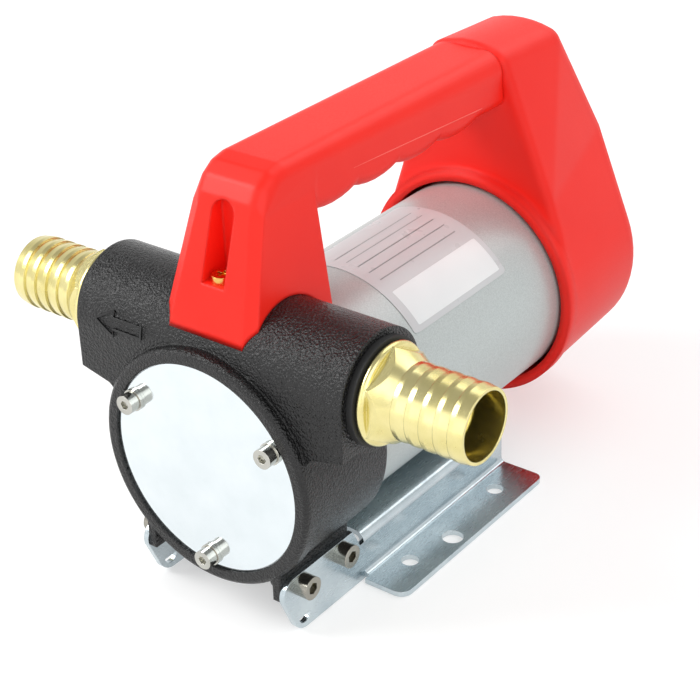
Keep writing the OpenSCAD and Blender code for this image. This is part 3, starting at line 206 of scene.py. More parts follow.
@dataclass(frozen=True)
class HammeredCoat(Finish):
    """Thick powder coat with a hammered skin over a sand casting.

    Sizes in millimetres: the distance and depth of the dimples, of the grit on
    them and of the casting's slow waves, and the radius of its edges.
    """

    dimple: float = 0.8
    depth: float = 0.44
    dimple_strength: float = 0.9
    roundness: float = 0.8
    grit_depth: float = 0.24
    grit_strength: float = 0.8
    wave: float = 7.0
    wave_depth: float = 0.3
    wave_strength: float = 0.6
    edge: float = 1.0
    worn: str = "#222222"
    worn_from: float = 0.5
    worn_to: float = 0.72
    smoother: float = 0.08
    rougher: float = 0.12
    gloss: float = 0.4

    def detail(self, tree: bpy.types.NodeTree, place: bpy.types.NodeSocket) -> Feeds:
        """Lays dimples and grit over soft edges, with thin greyer high spots.

        Args:
            tree: Node tree of the material.
            place: Object coordinates, in metres.

        Returns:
            The shader's colour, roughness, normal and gloss.
        """
        cells = add(tree, Kind.CELLS, {
            "Vector": place, "Scale": per_mm(self.dimple),
            "Smoothness": self.roundness}, feature="SMOOTH_F1")
        grit = add(tree, Kind.CLOUDS, {
            "Vector": place, "Scale": per_mm(self.dimple / 2), "Detail": 3.0})
        swell = add(tree, Kind.CLOUDS, {
            "Vector": place, "Scale": per_mm(self.wave), "Detail": 1.0})
        soft = add(tree, Kind.SOFT_EDGE, {"Radius": self.edge * MM}, samples=EDGE_RAYS)
        waved = add(tree, Kind.RELIEF, {
            "Height": swell, "Distance": self.wave_depth * MM,
            "Strength": self.wave_strength, "Normal": soft})
        dimpled = add(tree, Kind.RELIEF, {
            "Height": cells, "Distance": self.depth * MM,
            "Strength": self.dimple_strength, "Normal": waved})
        gritty = add(tree, Kind.RELIEF, {
            "Height": grit, "Distance": self.grit_depth * MM,
            "Strength": self.grit_strength, "Normal": dimpled})
        high = add(tree, Kind.RANGE, {
            "Value": grit, "From Min": self.worn_from, "From Max": self.worn_to})
        skin = add(tree, Kind.MIX, {
            SHARE: high, FIRST: linear(self.colour), SECOND: linear(self.worn)},
            data_type="RGBA").outputs[MIXED]
        rough = add(tree, Kind.RANGE, {
            "Value": grit, "From Min": CLOUD_LOW, "From Max": CLOUD_HIGH,
            "To Min": self.roughness - self.smoother,
            "To Max": self.roughness + self.rougher})
        return {"Base Color": skin, "Roughness": rough, "Normal": gritty,
                "Specular IOR Level": self.gloss}


@dataclass(frozen=True)
class PlatedSteel(Finish):
    """Bright plated steel: faint clouds in the plating over rolling or turning marks.

    Sizes in millimetres: the clouds' distance, the marks' distance and depth, and
    the radius of the edges. The axis values stretch the marks along each axis.
    """

    cloud: str = "#ffffff"
    cloud_size: float = 14.0
    mark: float = 0.4
    axis: Point = (1.0, 0.05, 1.0)
    mark_depth: float = 0.006
    edge: float = 0.3
    smoother: float = 0.05
    rougher: float = 0.07

    def detail(self, tree: bpy.types.NodeTree, place: bpy.types.NodeSocket) -> Feeds:
        """Draws marks stretched along one axis, and clouds in the plating.

        Args:
            tree: Node tree of the material.
            place: Object coordinates, in metres.

        Returns:
            The shader's colour, roughness and normal.
        """
        drawn = add(tree, Kind.STRETCH, {"Vector": place, "Scale": self.axis})
        marks = add(tree, Kind.CLOUDS, {
            "Vector": drawn, "Scale": per_mm(self.mark), "Detail": 3.0})
        clouds = add(tree, Kind.CLOUDS, {
            "Vector": place, "Scale": per_mm(self.cloud_size), "Detail": 3.0})
        share = add(tree, Kind.RANGE, {
            "Value": clouds, "From Min": CLOUD_LOW, "From Max": CLOUD_HIGH})
        plating = add(tree, Kind.MIX, {
            SHARE: share, FIRST: linear(self.colour), SECOND: linear(self.cloud)},
            data_type="RGBA").outputs[MIXED]
        rough = add(tree, Kind.RANGE, {
            "Value": marks, "From Min": CLOUD_LOW, "From Max": CLOUD_HIGH,
            "To Min": self.roughness - self.smoother,
            "To Max": self.roughness + self.rougher})
        soft = add(tree, Kind.SOFT_EDGE, {"Radius": self.edge * MM}, samples=EDGE_RAYS)
        marked = add(tree, Kind.RELIEF, {
            "Height": marks, "Distance": self.mark_depth * MM, "Normal": soft})
        return {"Base Color": plating, "Roughness": rough, "Normal": marked}


@dataclass(frozen=True)
class TurnedBrass(Finish):
    """Bright turned brass: fine rings round X, with a slightly deeper colour in spots.

    Sizes in millimetres: the rings' distance and depth, the stains' distance and
    the radius of the edges.
    """

    tarnish: str = "#d2c57c"
    tarnish_share: float = 0.7
    ring: float = 0.55
    ring_depth: float = 0.012
    ring_strength: float = 0.6
    wander: float = 0.6
    stain: float = 11.0
    edge: float = 0.35
    rougher: float = 0.08

    def detail(self, tree: bpy.types.NodeTree, place: bpy.types.NodeSocket) -> Feeds:
        """Draws the tool's rings along X and a faint tarnish.

        Args:
            tree: Node tree of the material.
            place: Object coordinates, in metres.

        Returns:
            The shader's colour, roughness and normal.
        """
        rings = add(tree, Kind.BANDS, {
            "Vector": place, "Scale": per_mm(self.ring) / BAND_SCALE,
            "Distortion": self.wander, "Detail": 2.0, "Detail Scale": 2.0},
            wave_type="BANDS", bands_direction=Axis.X.value).outputs[BAND_HEIGHT]
        stains = add(tree, Kind.CLOUDS, {
            "Vector": place, "Scale": per_mm(self.stain), "Detail": 4.0})
        share = add(tree, Kind.RANGE, {
            "Value": stains, "From Min": CLOUD_LOW, "From Max": CLOUD_HIGH,
            "To Max": self.tarnish_share})
        metal = add(tree, Kind.MIX, {
            SHARE: share, FIRST: linear(self.colour), SECOND: linear(self.tarnish)},
            data_type="RGBA").outputs[MIXED]
        rough = add(tree, Kind.RANGE, {
            "Value": stains, "From Min": CLOUD_LOW, "From Max": CLOUD_HIGH,
            "To Min": self.roughness, "To Max": self.roughness + self.rougher})
        soft = add(tree, Kind.SOFT_EDGE, {"Radius": self.edge * MM}, samples=EDGE_RAYS)
        turned = add(tree, Kind.RELIEF, {
            "Height": rings, "Distance": self.ring_depth * MM,
            "Strength": self.ring_strength, "Normal": soft})
        return {"Base Color": metal, "Roughness": rough, "Normal": turned}


@dataclass(frozen=True)
class SatinPaint(Finish):
    """Silver-grey stoved paint on rolled tube, with a fine orange peel.

    Sizes in millimetres: the flakes' distance, and the peel's distance and depth.
    """

    flake_colour: str = "#c2c9c8"
    flake: float = 0.5
    flake_from: float = 0.35
    flake_to: float = 0.65
    peel: float = 2.5
    peel_depth: float = 0.03
    peel_strength: float = 0.4
    coat: float = 0.25
    coat_roughness: float = 0.22

    def detail(self, tree: bpy.types.NodeTree, place: bpy.types.NodeSocket) -> Feeds:
        """Adds orange peel, metal flake and a thin clear coat.

        Args:
            tree: Node tree of the material.
            place: Object coordinates, in metres.

        Returns:
            The shader's colour, normal and coat.
        """
        flakes = add(tree, Kind.CLOUDS, {
            "Vector": place, "Scale": per_mm(self.flake), "Detail": 2.0})
        peel = add(tree, Kind.CLOUDS, {
            "Vector": place, "Scale": per_mm(self.peel), "Detail": 1.0})
        share = add(tree, Kind.RANGE, {
            "Value": flakes, "From Min": self.flake_from, "From Max": self.flake_to})
        paint = add(tree, Kind.MIX, {
            SHARE: share, FIRST: linear(self.colour), SECOND: linear(self.flake_colour)},
            data_type="RGBA").outputs[MIXED]
        peeled = add(tree, Kind.RELIEF, {
            "Height": peel, "Distance": self.peel_depth * MM,
            "Strength": self.peel_strength})
        return {"Base Color": paint, "Normal": peeled, "Coat Weight": self.coat,
                "Coat Roughness": self.coat_roughness}


@dataclass(frozen=True)
class Moulded(Finish):
    """Moulded or pressed material with a fine eroded texture and soft edges.

    Sizes in millimetres: the texture's distance and depth, the radius of the edges
    and the distance of the slow changes of colour.
    """

    texture: float = 0.45
    depth: float = 0.02
    strength: float = 0.5
    edge: float = 1.2
    shade: str = "#000000"
    shade_size: float = 38.0
    smoother: float = 0.04
    rougher: float = 0.06
    gloss: float = 0.5

    def detail(self, tree: bpy.types.NodeTree, place: bpy.types.NodeSocket) -> Feeds:
        """Adds the mould's grain, soft edges and a slow change of colour.

        Args:
            tree: Node tree of the material.
            place: Object coordinates, in metres.

        Returns:
            The shader's colour, roughness, normal and gloss.
        """
        grain = add(tree, Kind.CLOUDS, {
            "Vector": place, "Scale": per_mm(self.texture), "Detail": 2.0})
        slow = add(tree, Kind.CLOUDS, {
            "Vector": place, "Scale": per_mm(self.shade_size), "Detail": 2.0})
        share = add(tree, Kind.RANGE, {
            "Value": slow, "From Min": CLOUD_LOW, "From Max": CLOUD_HIGH})
        tone = add(tree, Kind.MIX, {
            SHARE: share, FIRST: linear(self.colour), SECOND: linear(self.shade)},
            data_type="RGBA").outputs[MIXED]
        rough = add(tree, Kind.RANGE, {
            "Value": grain, "From Min": CLOUD_LOW, "From Max": CLOUD_HIGH,
            "To Min": self.roughness - self.smoother,
            "To Max": self.roughness + self.rougher})
        soft = add(tree, Kind.SOFT_EDGE, {"Radius": self.edge * MM}, samples=EDGE_RAYS)
        grained = add(tree, Kind.RELIEF, {
            "Height": grain, "Distance": self.depth * MM,
            "Strength": self.strength, "Normal": soft})
        return {"Base Color": tone, "Roughness": rough, "Normal": grained,
                "Specular IOR Level": self.gloss}


@dataclass(frozen=True)
class Layered(Finish):
    """Thin layers stacked along one axis, as iron sheets or laminated board.

    Sizes in millimetres: the layers' thickness and the depth of their joints.
    """

    layer: float = 0.6
    groove: float = 0.05
    direction: Axis = Axis.Y
    wander: float = 0.3
    dark: str = "#222222"
    dark_to: float = 0.1
    light_from: float = 0.6

    def detail(self, tree: bpy.types.NodeTree, place: bpy.types.NodeSocket) -> Feeds:
        """Draws the joints between the layers.

        Args:
            tree: Node tree of the material.
            place: Object coordinates, in metres.

        Returns:
            The shader's colour and normal.
        """
        bands = add(tree, Kind.BANDS, {
            "Vector": place, "Scale": per_mm(self.layer) / BAND_SCALE,
            "Distortion": self.wander},
            wave_type="BANDS",
            bands_direction=self.direction.value).outputs[BAND_HEIGHT]
        share = add(tree, Kind.RANGE, {
            "Value": bands, "From Min": self.dark_to, "From Max": self.light_from})
        sheets = add(tree, Kind.MIX, {
            SHARE: share, FIRST: linear(self.dark), SECOND: linear(self.colour)},
            data_type="RGBA").outputs[MIXED]
        grooved = add(tree, Kind.RELIEF, {"Height": bands, "Distance": self.groove * MM})
        return {"Base Color": sheets, "Normal": grooved}


class Surface(Enum):
    """Every finish of the pump."""

    # Cast iron under hammered black powder coat: small glossy dimples that break up
    # the highlights
    CASTING = HammeredCoat("hammered_black_powder_coat", "#0a0a0b", 0.23)
    # The same coat on the arrow's outline, painted darker as shade along its edges: smooth
    # and glossy
    ARROW_EDGE_SHADE = Moulded("black_powder_coat_painted_edge_shade", "#070708", 0.3, shade="#0a0a0b",
                        texture=0.8, depth=0.05, edge=0.2)
    # Thin flash left by the mould along its parting line, painted paler red as a highlight
    # along it, palest in slow cloudy patches
    SEAM_HIGHLIGHT = Moulded("red_flash_painted_highlight", "#ff5a4e", 0.5, shade="#ff8077", edge=0.1)
    # Polished chrome plate: a mirror that shows the white room, with a faint haze
    COVER = PlatedSteel("polished_chrome_plate", "#e6edf0", 0.07, 1.0, cloud="#dfe7ea",
                        mark=2.5, mark_depth=0.001, edge=0.9)
    # Turned brass bar: bright yellow, with the lathe's fine rings
    BRASS = TurnedBrass("turned_brass", "#eadfa3", 0.21, 1.0)
    # Zinc plated sheet, blue passivated: bluish bright metal with rolling marks along Y
    ZINC_SHEET = PlatedSteel("blue_zinc_plated_sheet", "#b7c3c9", 0.23, 1.0,
                             cloud="#ccd6da", mark=0.5, axis=(1.0, 0.12, 1.0),
                             mark_depth=0.0012)
    # Zinc plated screws: bright, slightly warm metal
    ZINC_SCREW = PlatedSteel("zinc_plated_screw_steel", "#aeada6", 0.15, 1.0,
                             cloud="#c4c3bc", mark=0.6, axis=(1.0, 1.0, 1.0))
    # Screws of the foot: the plated screw metal painted darker as shade, with bright rims
    SHADED_SCREW = PlatedSteel("screw_steel_painted_shade", "#96938a", 0.19, 1.0,
                             cloud="#a8a59b", mark=0.6, axis=(1.0, 1.0, 1.0))
    # Yellow zinc plated screw: golden iridescent metal
    YELLOW_ZINC = PlatedSteel("yellow_zinc_plated_steel", "#e0bd6a", 0.22, 1.0,
                              cloud="#d9a45a", mark=0.6, axis=(1.0, 1.0, 1.0))
    # Stoved silver paint on steel tube: satin grey with a soft wide highlight
    TUBE = SatinPaint("stoved_silver_grey_paint", "#b3bab9", 0.42, 0.25)
    # Red polypropylene, moulded: even satin red with soft edges
    RED = Moulded("moulded_red_polypropylene", "#f8281a", 0.4, shade="#f42115", edge=1.6,
                  gloss=0.3)
    # The same plastic on the cap, whose draught runs smoothly round its sides
    RED_CAP = Moulded("moulded_red_polypropylene_shell", "#f72418", 0.4, shade="#f31e12",
                      edge=5.0, gloss=0.3)
    # Black nitrile rubber, moulded: matt, almost no highlight
    RUBBER = Moulded("black_nitrile_rubber", "#161616", 0.62, shade="#1c1c1c", edge=0.3)
    # Black polyamide, moulded: satin black
    BLACK = Moulded("black_polyamide", "#1a1a1b", 0.45, shade="#202022", edge=0.35)
    # White printed mark: plain matt white ink
    MARK = Moulded("white_marking_ink", "#e4e4e2", 0.5, shade="#dcdcda", edge=0.1)
    # Vinyl label sheet: pale, smooth, slightly glossy film
    LABEL = Moulded("pale_vinyl_film", "#cfd2d3", 0.3, texture=9.0, depth=0.004,
                    shade="#c9cbcd", edge=0.1)
    # Label's blank field: the same film printed white
    LABEL_FIELD = Moulded("white_vinyl_film", "#f0f3f3", 0.32, texture=9.0, depth=0.004,
                          shade="#e6ebec", edge=0.1)
    # Ruled lines on the label: the same film printed grey
    LABEL_RULE = Moulded("grey_printed_film", "#9fa5a7", 0.34, texture=9.0, depth=0.004,
                         shade="#989ea0", edge=0.1)
    # Ground bearing and shaft steel: bright, with grinding marks
    GROUND = PlatedSteel("ground_steel", "#c3c6ca", 0.2, 1.0, cloud="#b2b6ba", mark=0.5)
    # Drawn spring wire: darker, smooth metal
    WIRE = PlatedSteel("drawn_spring_wire", "#9b9ea3", 0.28, 1.0, cloud="#8b8e93",
                       mark=0.3)
    # Sintered steel: dull grey with fine pores
    SINTERED = Moulded("sintered_steel", "#83878c", 0.5, 0.9, texture=0.6, depth=0.05,
                       shade="#777b80", edge=0.3)
    # Stainless sheet, pressed: greyish bright metal
    STAINLESS = PlatedSteel("pressed_stainless_steel", "#c0c3c6", 0.25, 1.0,
                            cloud="#aeb2b6")
    # Aluminium die casting, left bare: light grey with a fine skin
    DIE_CAST = Moulded("bare_aluminium_casting", "#a5a8ab", 0.48, 0.85, texture=1.0,
                       depth=0.06, shade="#999ca0", edge=0.5)
    # Filled vane plastic: dark and smooth
    VANE = Moulded("carbon_filled_vane_plastic", "#2b2b2e", 0.4, shade="#303033",
                   edge=0.2)
    # Ferrite magnet: dark grey ceramic
    FERRITE = Moulded("ferrite_ceramic", "#3f3f43", 0.6, shade="#47474b", edge=0.3)
    # Pressed brush carbon: matt black
    CARBON = Moulded("pressed_carbon", "#262628", 0.6, shade="#2e2e30", edge=0.2)
    # Enamelled copper wire, wound: warm brown-red with wire ridges
    COPPER = Layered("enamelled_copper_wire", "#b05f2d", 0.3, 0.8, layer=0.7,
                     direction=Axis.X, dark="#5c2c12")
    # Copper segments, turned: bright copper with dark joints
    SEGMENT = Layered("turned_copper", "#c98350", 0.25, 1.0, layer=0.5, dark="#8c5530")
    # Stacked electrical steel sheets: grey, with a fine line at each joint
    IRON = Layered("electrical_steel_sheets", "#6b6e72", 0.5, 0.7, layer=0.8,
                   dark="#34363a")
    # Paper phenolic board: brown, with darker layers
    BOARD = Layered("phenolic_board", "#774627", 0.5, layer=0.5, dark="#5c341c")

    def make(self) -> bpy.types.Material:
        """Returns the finish's material."""
        return self.value.make()


class Bench:
    """Moves that the sub-assemblies share while they model their pieces."""

    @staticmethod
    def clear() -> None:
        """Leaves nothing selected, so that an operator acts on the new piece only."""
        bpy.ops.object.select_all(action="DESELECT")

    @staticmethod
    def active() -> bpy.types.Object:
        """Returns the object at work."""
        return bpy.context.view_layer.objects.active

    @classmethod
    def pick(cls, test: Callable[[Any], bool], part: Part = Part.FACE) -> None:
        """Selects faces, edges or vertices of the object in edit mode by a test.

        Args:
            test: Says of one face, edge or vertex whether it is wanted.
            part: What is selected.
        """
        bpy.ops.mesh.select_all(action="DESELECT")
        bpy.ops.mesh.select_mode(type=part.value)
        mesh = bmesh.from_edit_mesh(cls.active().data)
        items = {Part.FACE: mesh.faces, Part.EDGE: mesh.edges,
                 Part.VERTEX: mesh.verts}[part]
        for item in items:
            if test(item):
                item.select_set(True)
        mesh.select_flush_mode()
        bmesh.update_edit_mesh(cls.active().data)

    @classmethod
    def finish(cls, name: str, surface: Surface, body: str, slot: str,
               smooth: float = CREASED) -> bpy.types.Object:
        """Names, places, dresses and rides the object at work.

        Args:
            name: Name of the piece.
            surface: Its finish.
            body: CAD body that it moves with.
            slot: Material slot of the record; not used.
            smooth: Angle in degrees up to which edges are shaded smooth.

        Returns:
            The finished piece.
        """
        piece = cls.active()
        piece.name = name
        piece.data.name = name
        bpy.ops.object.transform_apply(location=True, rotation=True, scale=True)
        bpy.ops.object.shade_smooth_by_angle(angle=math.radians(smooth))
        piece.data.materials.clear()
        piece.data.materials.append(surface.make())
        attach(piece, body)
        cls.clear()
        LOG.info("%s: %d faces, rides %s", name, len(piece.data.polygons), body)
        return piece


@dataclass
class SubAssembly:
    """Pieces that belong together: CAD nodes with their finishes, and new pieces."""

    finishes: dict[str, Surface] = field(default_factory=dict)

    def build(self) -> None:
        """Models the group's new pieces; a group of bare CAD nodes has none."""

    def dress(self) -> None:
        """Gives each CAD node of the group its finish."""
        for name, surface in self.finishes.items():
            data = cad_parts[name].data
            data.materials.clear()
            data.materials.append(surface.make())
            LOG.info("%s: %s", name, surface.value.name)


@dataclass
class FlowArrow:
    """Raised outline of an arrow cast on the head, which shows the flow direction.

    It lies on the port body's front, middle_deg above the level of the port's axis.
    """

    tip_x: float = -48.4
    neck_x: float = -39.6
    tail_x: float = -26.6
    half_head: float = 5.0
    half_shaft: float = 2.3
    rim: float = 0.7
    rise: float = 0.75
    port_y: float = -63.7
    port_z: float = 96.3
    port_r: float = 21.1
    middle_deg: float = 11.5
    sink: float = 0.25
    cuts: int = 5
    near: float = 0.1
    weld: float = 0.01
    flat_deg: float = 1.0
    smooth: float = 50.0

    def build(self) -> None:
        """Models the arrow flat, leaves its rim, and wraps it round the port body."""
        Bench.clear()
        long = self.tail_x - self.neck_x
        bpy.ops.mesh.primitive_plane_add(size=1.0)
        bpy.ops.object.mode_set(mode="EDIT")
        bpy.ops.transform.resize(value=(long * MM, 2 * self.half_shaft * MM, 1.0))
        bpy.ops.transform.translate(value=((self.neck_x + long / 2) * MM, 0.0, 0.0))
        # Head: the neck's edge is drawn out, spread, and run to a point
        Bench.pick(lambda e: all(v.co.x < (self.neck_x + self.near) * MM for v in e.verts),
                   Part.EDGE)
        bpy.ops.mesh.extrude_region_move()
        spread = self.half_head / self.half_shaft
        bpy.ops.transform.resize(value=(1.0, spread, 1.0))
        bpy.ops.mesh.extrude_region_move(
            TRANSFORM_OT_translate={"value": ((self.tip_x - self.neck_x) * MM, 0.0, 0.0)})
        bpy.ops.mesh.merge(type="CENTER")
        # Rim: the flat arrow is inset, its middle goes, and cuts let it bend
        bpy.ops.mesh.select_all(action="SELECT")
        bpy.ops.mesh.remove_doubles(threshold=self.weld * MM)
        bpy.ops.mesh.dissolve_limited(angle_limit=math.radians(self.flat_deg))
        bpy.ops.mesh.select_all(action="SELECT")
        bpy.ops.mesh.inset(thickness=self.rim * MM)
        bpy.ops.mesh.delete(type="FACE")
        bpy.ops.mesh.select_all(action="SELECT")
        bpy.ops.mesh.subdivide(number_cuts=self.cuts)
        bpy.ops.mesh.extrude_region_move(
            TRANSFORM_OT_translate={"value": (0.0, 0.0, self.rise * MM)})
        bpy.ops.mesh.select_all(action="SELECT")
        bpy.ops.mesh.normals_make_consistent(inside=False)
        bpy.ops.object.mode_set(mode="OBJECT")
        self.wrap(Bench.active())
        # The outline takes the coat painted darker: painted shade along the arrow's edges
        Bench.finish("flow_arrow", Surface.ARROW_EDGE_SHADE, PUMP, "casting", self.smooth)

    def wrap(self, piece: bpy.types.Object) -> None:
        """Wraps the flat arrow round the port body's front.

        Args:
            piece: Arrow that lies in X and Y, its rise along Z.
        """
        for vertex in piece.data.vertices:
            x, across, up = vertex.co
            angle = math.radians(self.middle_deg) + across / (self.port_r * MM)
            radius = (self.port_r - self.sink) * MM + up
            vertex.co = Vector((x, self.port_y * MM - radius * math.cos(angle),
                                self.port_z * MM + radius * math.sin(angle)))


@dataclass
class TubeLabel:
    """Blank label on the motor tube: a pale film with a white field and thin rules.

    Angles run round the motor's axis from +X upwards, in degrees.
    """

    axis_z: float = 60.4
    tube_r: float = 40.8
    film: float = 0.12
    front_y: float = -11.5
    back_y: float = 46.0
    low_deg: float = 36.5
    high_deg: float = 113.0
    corner: float = 4.0
    field_rise: float = 0.08
    field_margins: tuple[float, float] = (4.0, 2.5)
    field_deg: tuple[float, float] = (3.0, 24.0)
    field_corner: float = 1.5
    rule_rise: float = 0.06
    rule_margins: tuple[float, float] = (5.0, 6.0)
    rule_deg: tuple[float, ...] = (69.0, 76.0, 83.0, 90.0, 97.0)
    rule_width_deg: float = 0.7
    rule_corner: float = 0.1
    facets: int = 180
    corner_steps: int = 6
    near: float = 0.1
    near_deg: float = 0.3
    flat_deg: float = 0.2

    def build(self) -> None:
        """Models the film, the white field on it and the ruled lines."""
        front, back = self.front_y, self.back_y
        self.patch("tube_label", Surface.LABEL, self.film, (front, back),
                   (self.low_deg, self.high_deg), self.corner)
        self.patch("label_field", Surface.LABEL_FIELD, self.film + self.field_rise,
                   (front + self.field_margins[0], back - self.field_margins[1]),
                   (self.low_deg + self.field_deg[0], self.low_deg + self.field_deg[1]),
                   self.field_corner)
        for number, angle in enumerate(self.rule_deg, start=1):
            self.patch(f"label_rule_{number}", Surface.LABEL_RULE,
                       self.film + self.rule_rise,
                       (front + self.rule_margins[0], back - self.rule_margins[1]),
                       (angle, angle + self.rule_width_deg), self.rule_corner)

    def patch(self, name: str, surface: Surface, rise: float, along: tuple[float, float],
              around: tuple[float, float], corner: float) -> None:
        """Cuts one rounded patch out of a thin tube.

        Args:
            name: Name of the piece.
            surface: Its finish.
            rise: Height over the motor tube.
            along: First and last Y.
            around: First and last angle from +X upwards, in degrees.
            corner: Radius of the patch's corners.
        """
        Bench.clear()
        centre = Vector((0.0, (along[0] + along[1]) / 2 * MM, self.axis_z * MM))
        bpy.ops.mesh.primitive_cylinder_add(
            vertices=self.facets, radius=(self.tube_r + rise) * MM,
            depth=(along[1] - along[0]) * MM, end_fill_type="NOTHING", location=centre,
            rotation=(math.pi / 2, 0.0, 0.0))
        bpy.ops.object.transform_apply(location=True, rotation=True, scale=True)
        bpy.ops.object.mode_set(mode="EDIT")
        for angle, side in ((around[0], -1.0), (around[1], 1.0)):
            bpy.ops.mesh.select_all(action="SELECT")
            turn = math.radians(angle)
            bpy.ops.mesh.bisect(
                plane_co=centre, clear_outer=True,
                plane_no=(-side * math.sin(turn), 0.0, side * math.cos(turn)))
        # The cut through the axis leaves the far side too, so that goes
        Bench.pick(lambda f: not around[0] - self.near_deg
                   <= self.angle_of(f.calc_center_median()) <= around[1] + self.near_deg)
        bpy.ops.mesh.delete(type="FACE")
        bpy.ops.mesh.select_all(action="SELECT")
        bpy.ops.mesh.dissolve_limited(angle_limit=math.radians(self.flat_deg))
        ends = (along[0] * MM, along[1] * MM)
        Bench.pick(lambda v: len(v.link_edges) == 2
                   and min(abs(v.co.y - end) for end in ends) < self.near * MM,
                   Part.VERTEX)
        bpy.ops.mesh.bevel(offset=corner * MM, segments=self.corner_steps,
                           affect="VERTICES")
        bpy.ops.object.mode_set(mode="OBJECT")
        # The film stands on the tube, and the prints reach into the film below them
        solid = Bench.active().modifiers.new("film", "SOLIDIFY")
        solid.thickness = self.film * MM
        solid.offset = 1.0 if name == "tube_label" else 0.0
        bpy.ops.object.modifier_apply(modifier="film")
        Bench.finish(name, surface, PUMP, "painted_tube", ROUNDED)

    def angle_of(self, point: Vector) -> float:
        """Returns a point's angle round the motor axis from +X upwards, in degrees."""
        return math.degrees(math.atan2(point.z - self.axis_z * MM, point.x))


@dataclass
class HandleSeam:
    """Fine moulding line along both sides of the grip, drawn out thin at its ends."""

    start: Point = (14.36, -34.0, 147.3)
    end: Point = (16.06, 52.5, 142.3)
    width: float = 0.34
    taper: float = 3.0
    tip: float = 0.2
    facets: int = 10

    def build(self) -> None:
        """Models the line on both sides."""
        for side, name in ((1.0, "grip_seam_right"), (-1.0, "grip_seam_left")):
            self.line(name, side)

    def line(self, name: str, side: float) -> None:
        """Models one line as a thin bar along the grip.

        Args:
            name: Name of the piece.
            side: 1 for +X, -1 for -X.
        """
        Bench.clear()
        first = Vector((side * self.start[0], *self.start[1:])) * MM
        last = Vector((side * self.end[0], *self.end[1:])) * MM
        run = last - first
        bpy.ops.mesh.primitive_cylinder_add(
            vertices=self.facets, radius=self.width / 2 * MM, depth=run.length,
            location=(first + last) / 2, rotation=run.to_track_quat("Z", "Y").to_euler())
        bpy.ops.object.transform_apply(location=True, rotation=True, scale=True)
        bpy.ops.object.mode_set(mode="EDIT")
        for end, way in ((first, -1.0), (last, 1.0)):
            Bench.pick(lambda f: (f.calc_center_median() - end).length < self.width * MM)
            step = run.normalized() * way * self.taper * MM
            bpy.ops.mesh.extrude_region_move(TRANSFORM_OT_translate={"value": tuple(step)})
            bpy.ops.transform.resize(value=(self.tip, self.tip, self.tip))
        bpy.ops.object.mode_set(mode="OBJECT")
        # The line takes a paler red: a painted highlight along the parting line
        Bench.finish(name, Surface.SEAM_HIGHLIGHT, PUMP, "red_plastic")


@dataclass
class BypassCoil:
    """Coil behind the bypass disc; the real coil shortens as the disc is pushed open.

    It stands for the plain CAD coil, which can't shorten.
    """

    first_x: float = 6.77
    last_x: float = 20.33
    axis_y: float = -63.7
    axis_z: float = 96.3
    coil_r: float = 5.0
    wire_r: float = 0.5
    turns: int = 4
    travel: float = 3.0
    wire_facets: int = 12
    turn_facets: int = 32

    def build(self) -> None:
        """Winds a round wire section along X, closes its ends, hides the CAD coil and
        gives the new coil its own mesh.
        """
        Bench.clear()
        bpy.ops.mesh.primitive_circle_add(
            vertices=self.wire_facets, radius=self.wire_r * MM,
            location=(0.0, self.coil_r * MM, 0.0))
        bpy.ops.object.transform_apply(location=True, rotation=True, scale=True)
        wind = Bench.active().modifiers.new("wind", "SCREW")
        wind.axis = "X"
        wind.iterations = self.turns
        wind.steps = wind.render_steps = self.turn_facets
        wind.screw_offset = (self.last_x - self.first_x) / self.turns * MM
        bpy.ops.object.modifier_apply(modifier="wind")
        bpy.ops.object.mode_set(mode="EDIT")
        bpy.ops.mesh.select_all(action="SELECT")
        bpy.ops.mesh.fill_holes(sides=0)
        bpy.ops.mesh.select_all(action="SELECT")
        bpy.ops.mesh.normals_make_consistent(inside=False)
        bpy.ops.transform.translate(
            value=(self.first_x * MM, self.axis_y * MM, self.axis_z * MM))
        bpy.ops.object.mode_set(mode="OBJECT")
        coil = Bench.finish("bypass_coil", Surface.WIRE, PUMP, "spring_steel", ROUNDED)
        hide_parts("bypass_spring")
        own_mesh(coil)


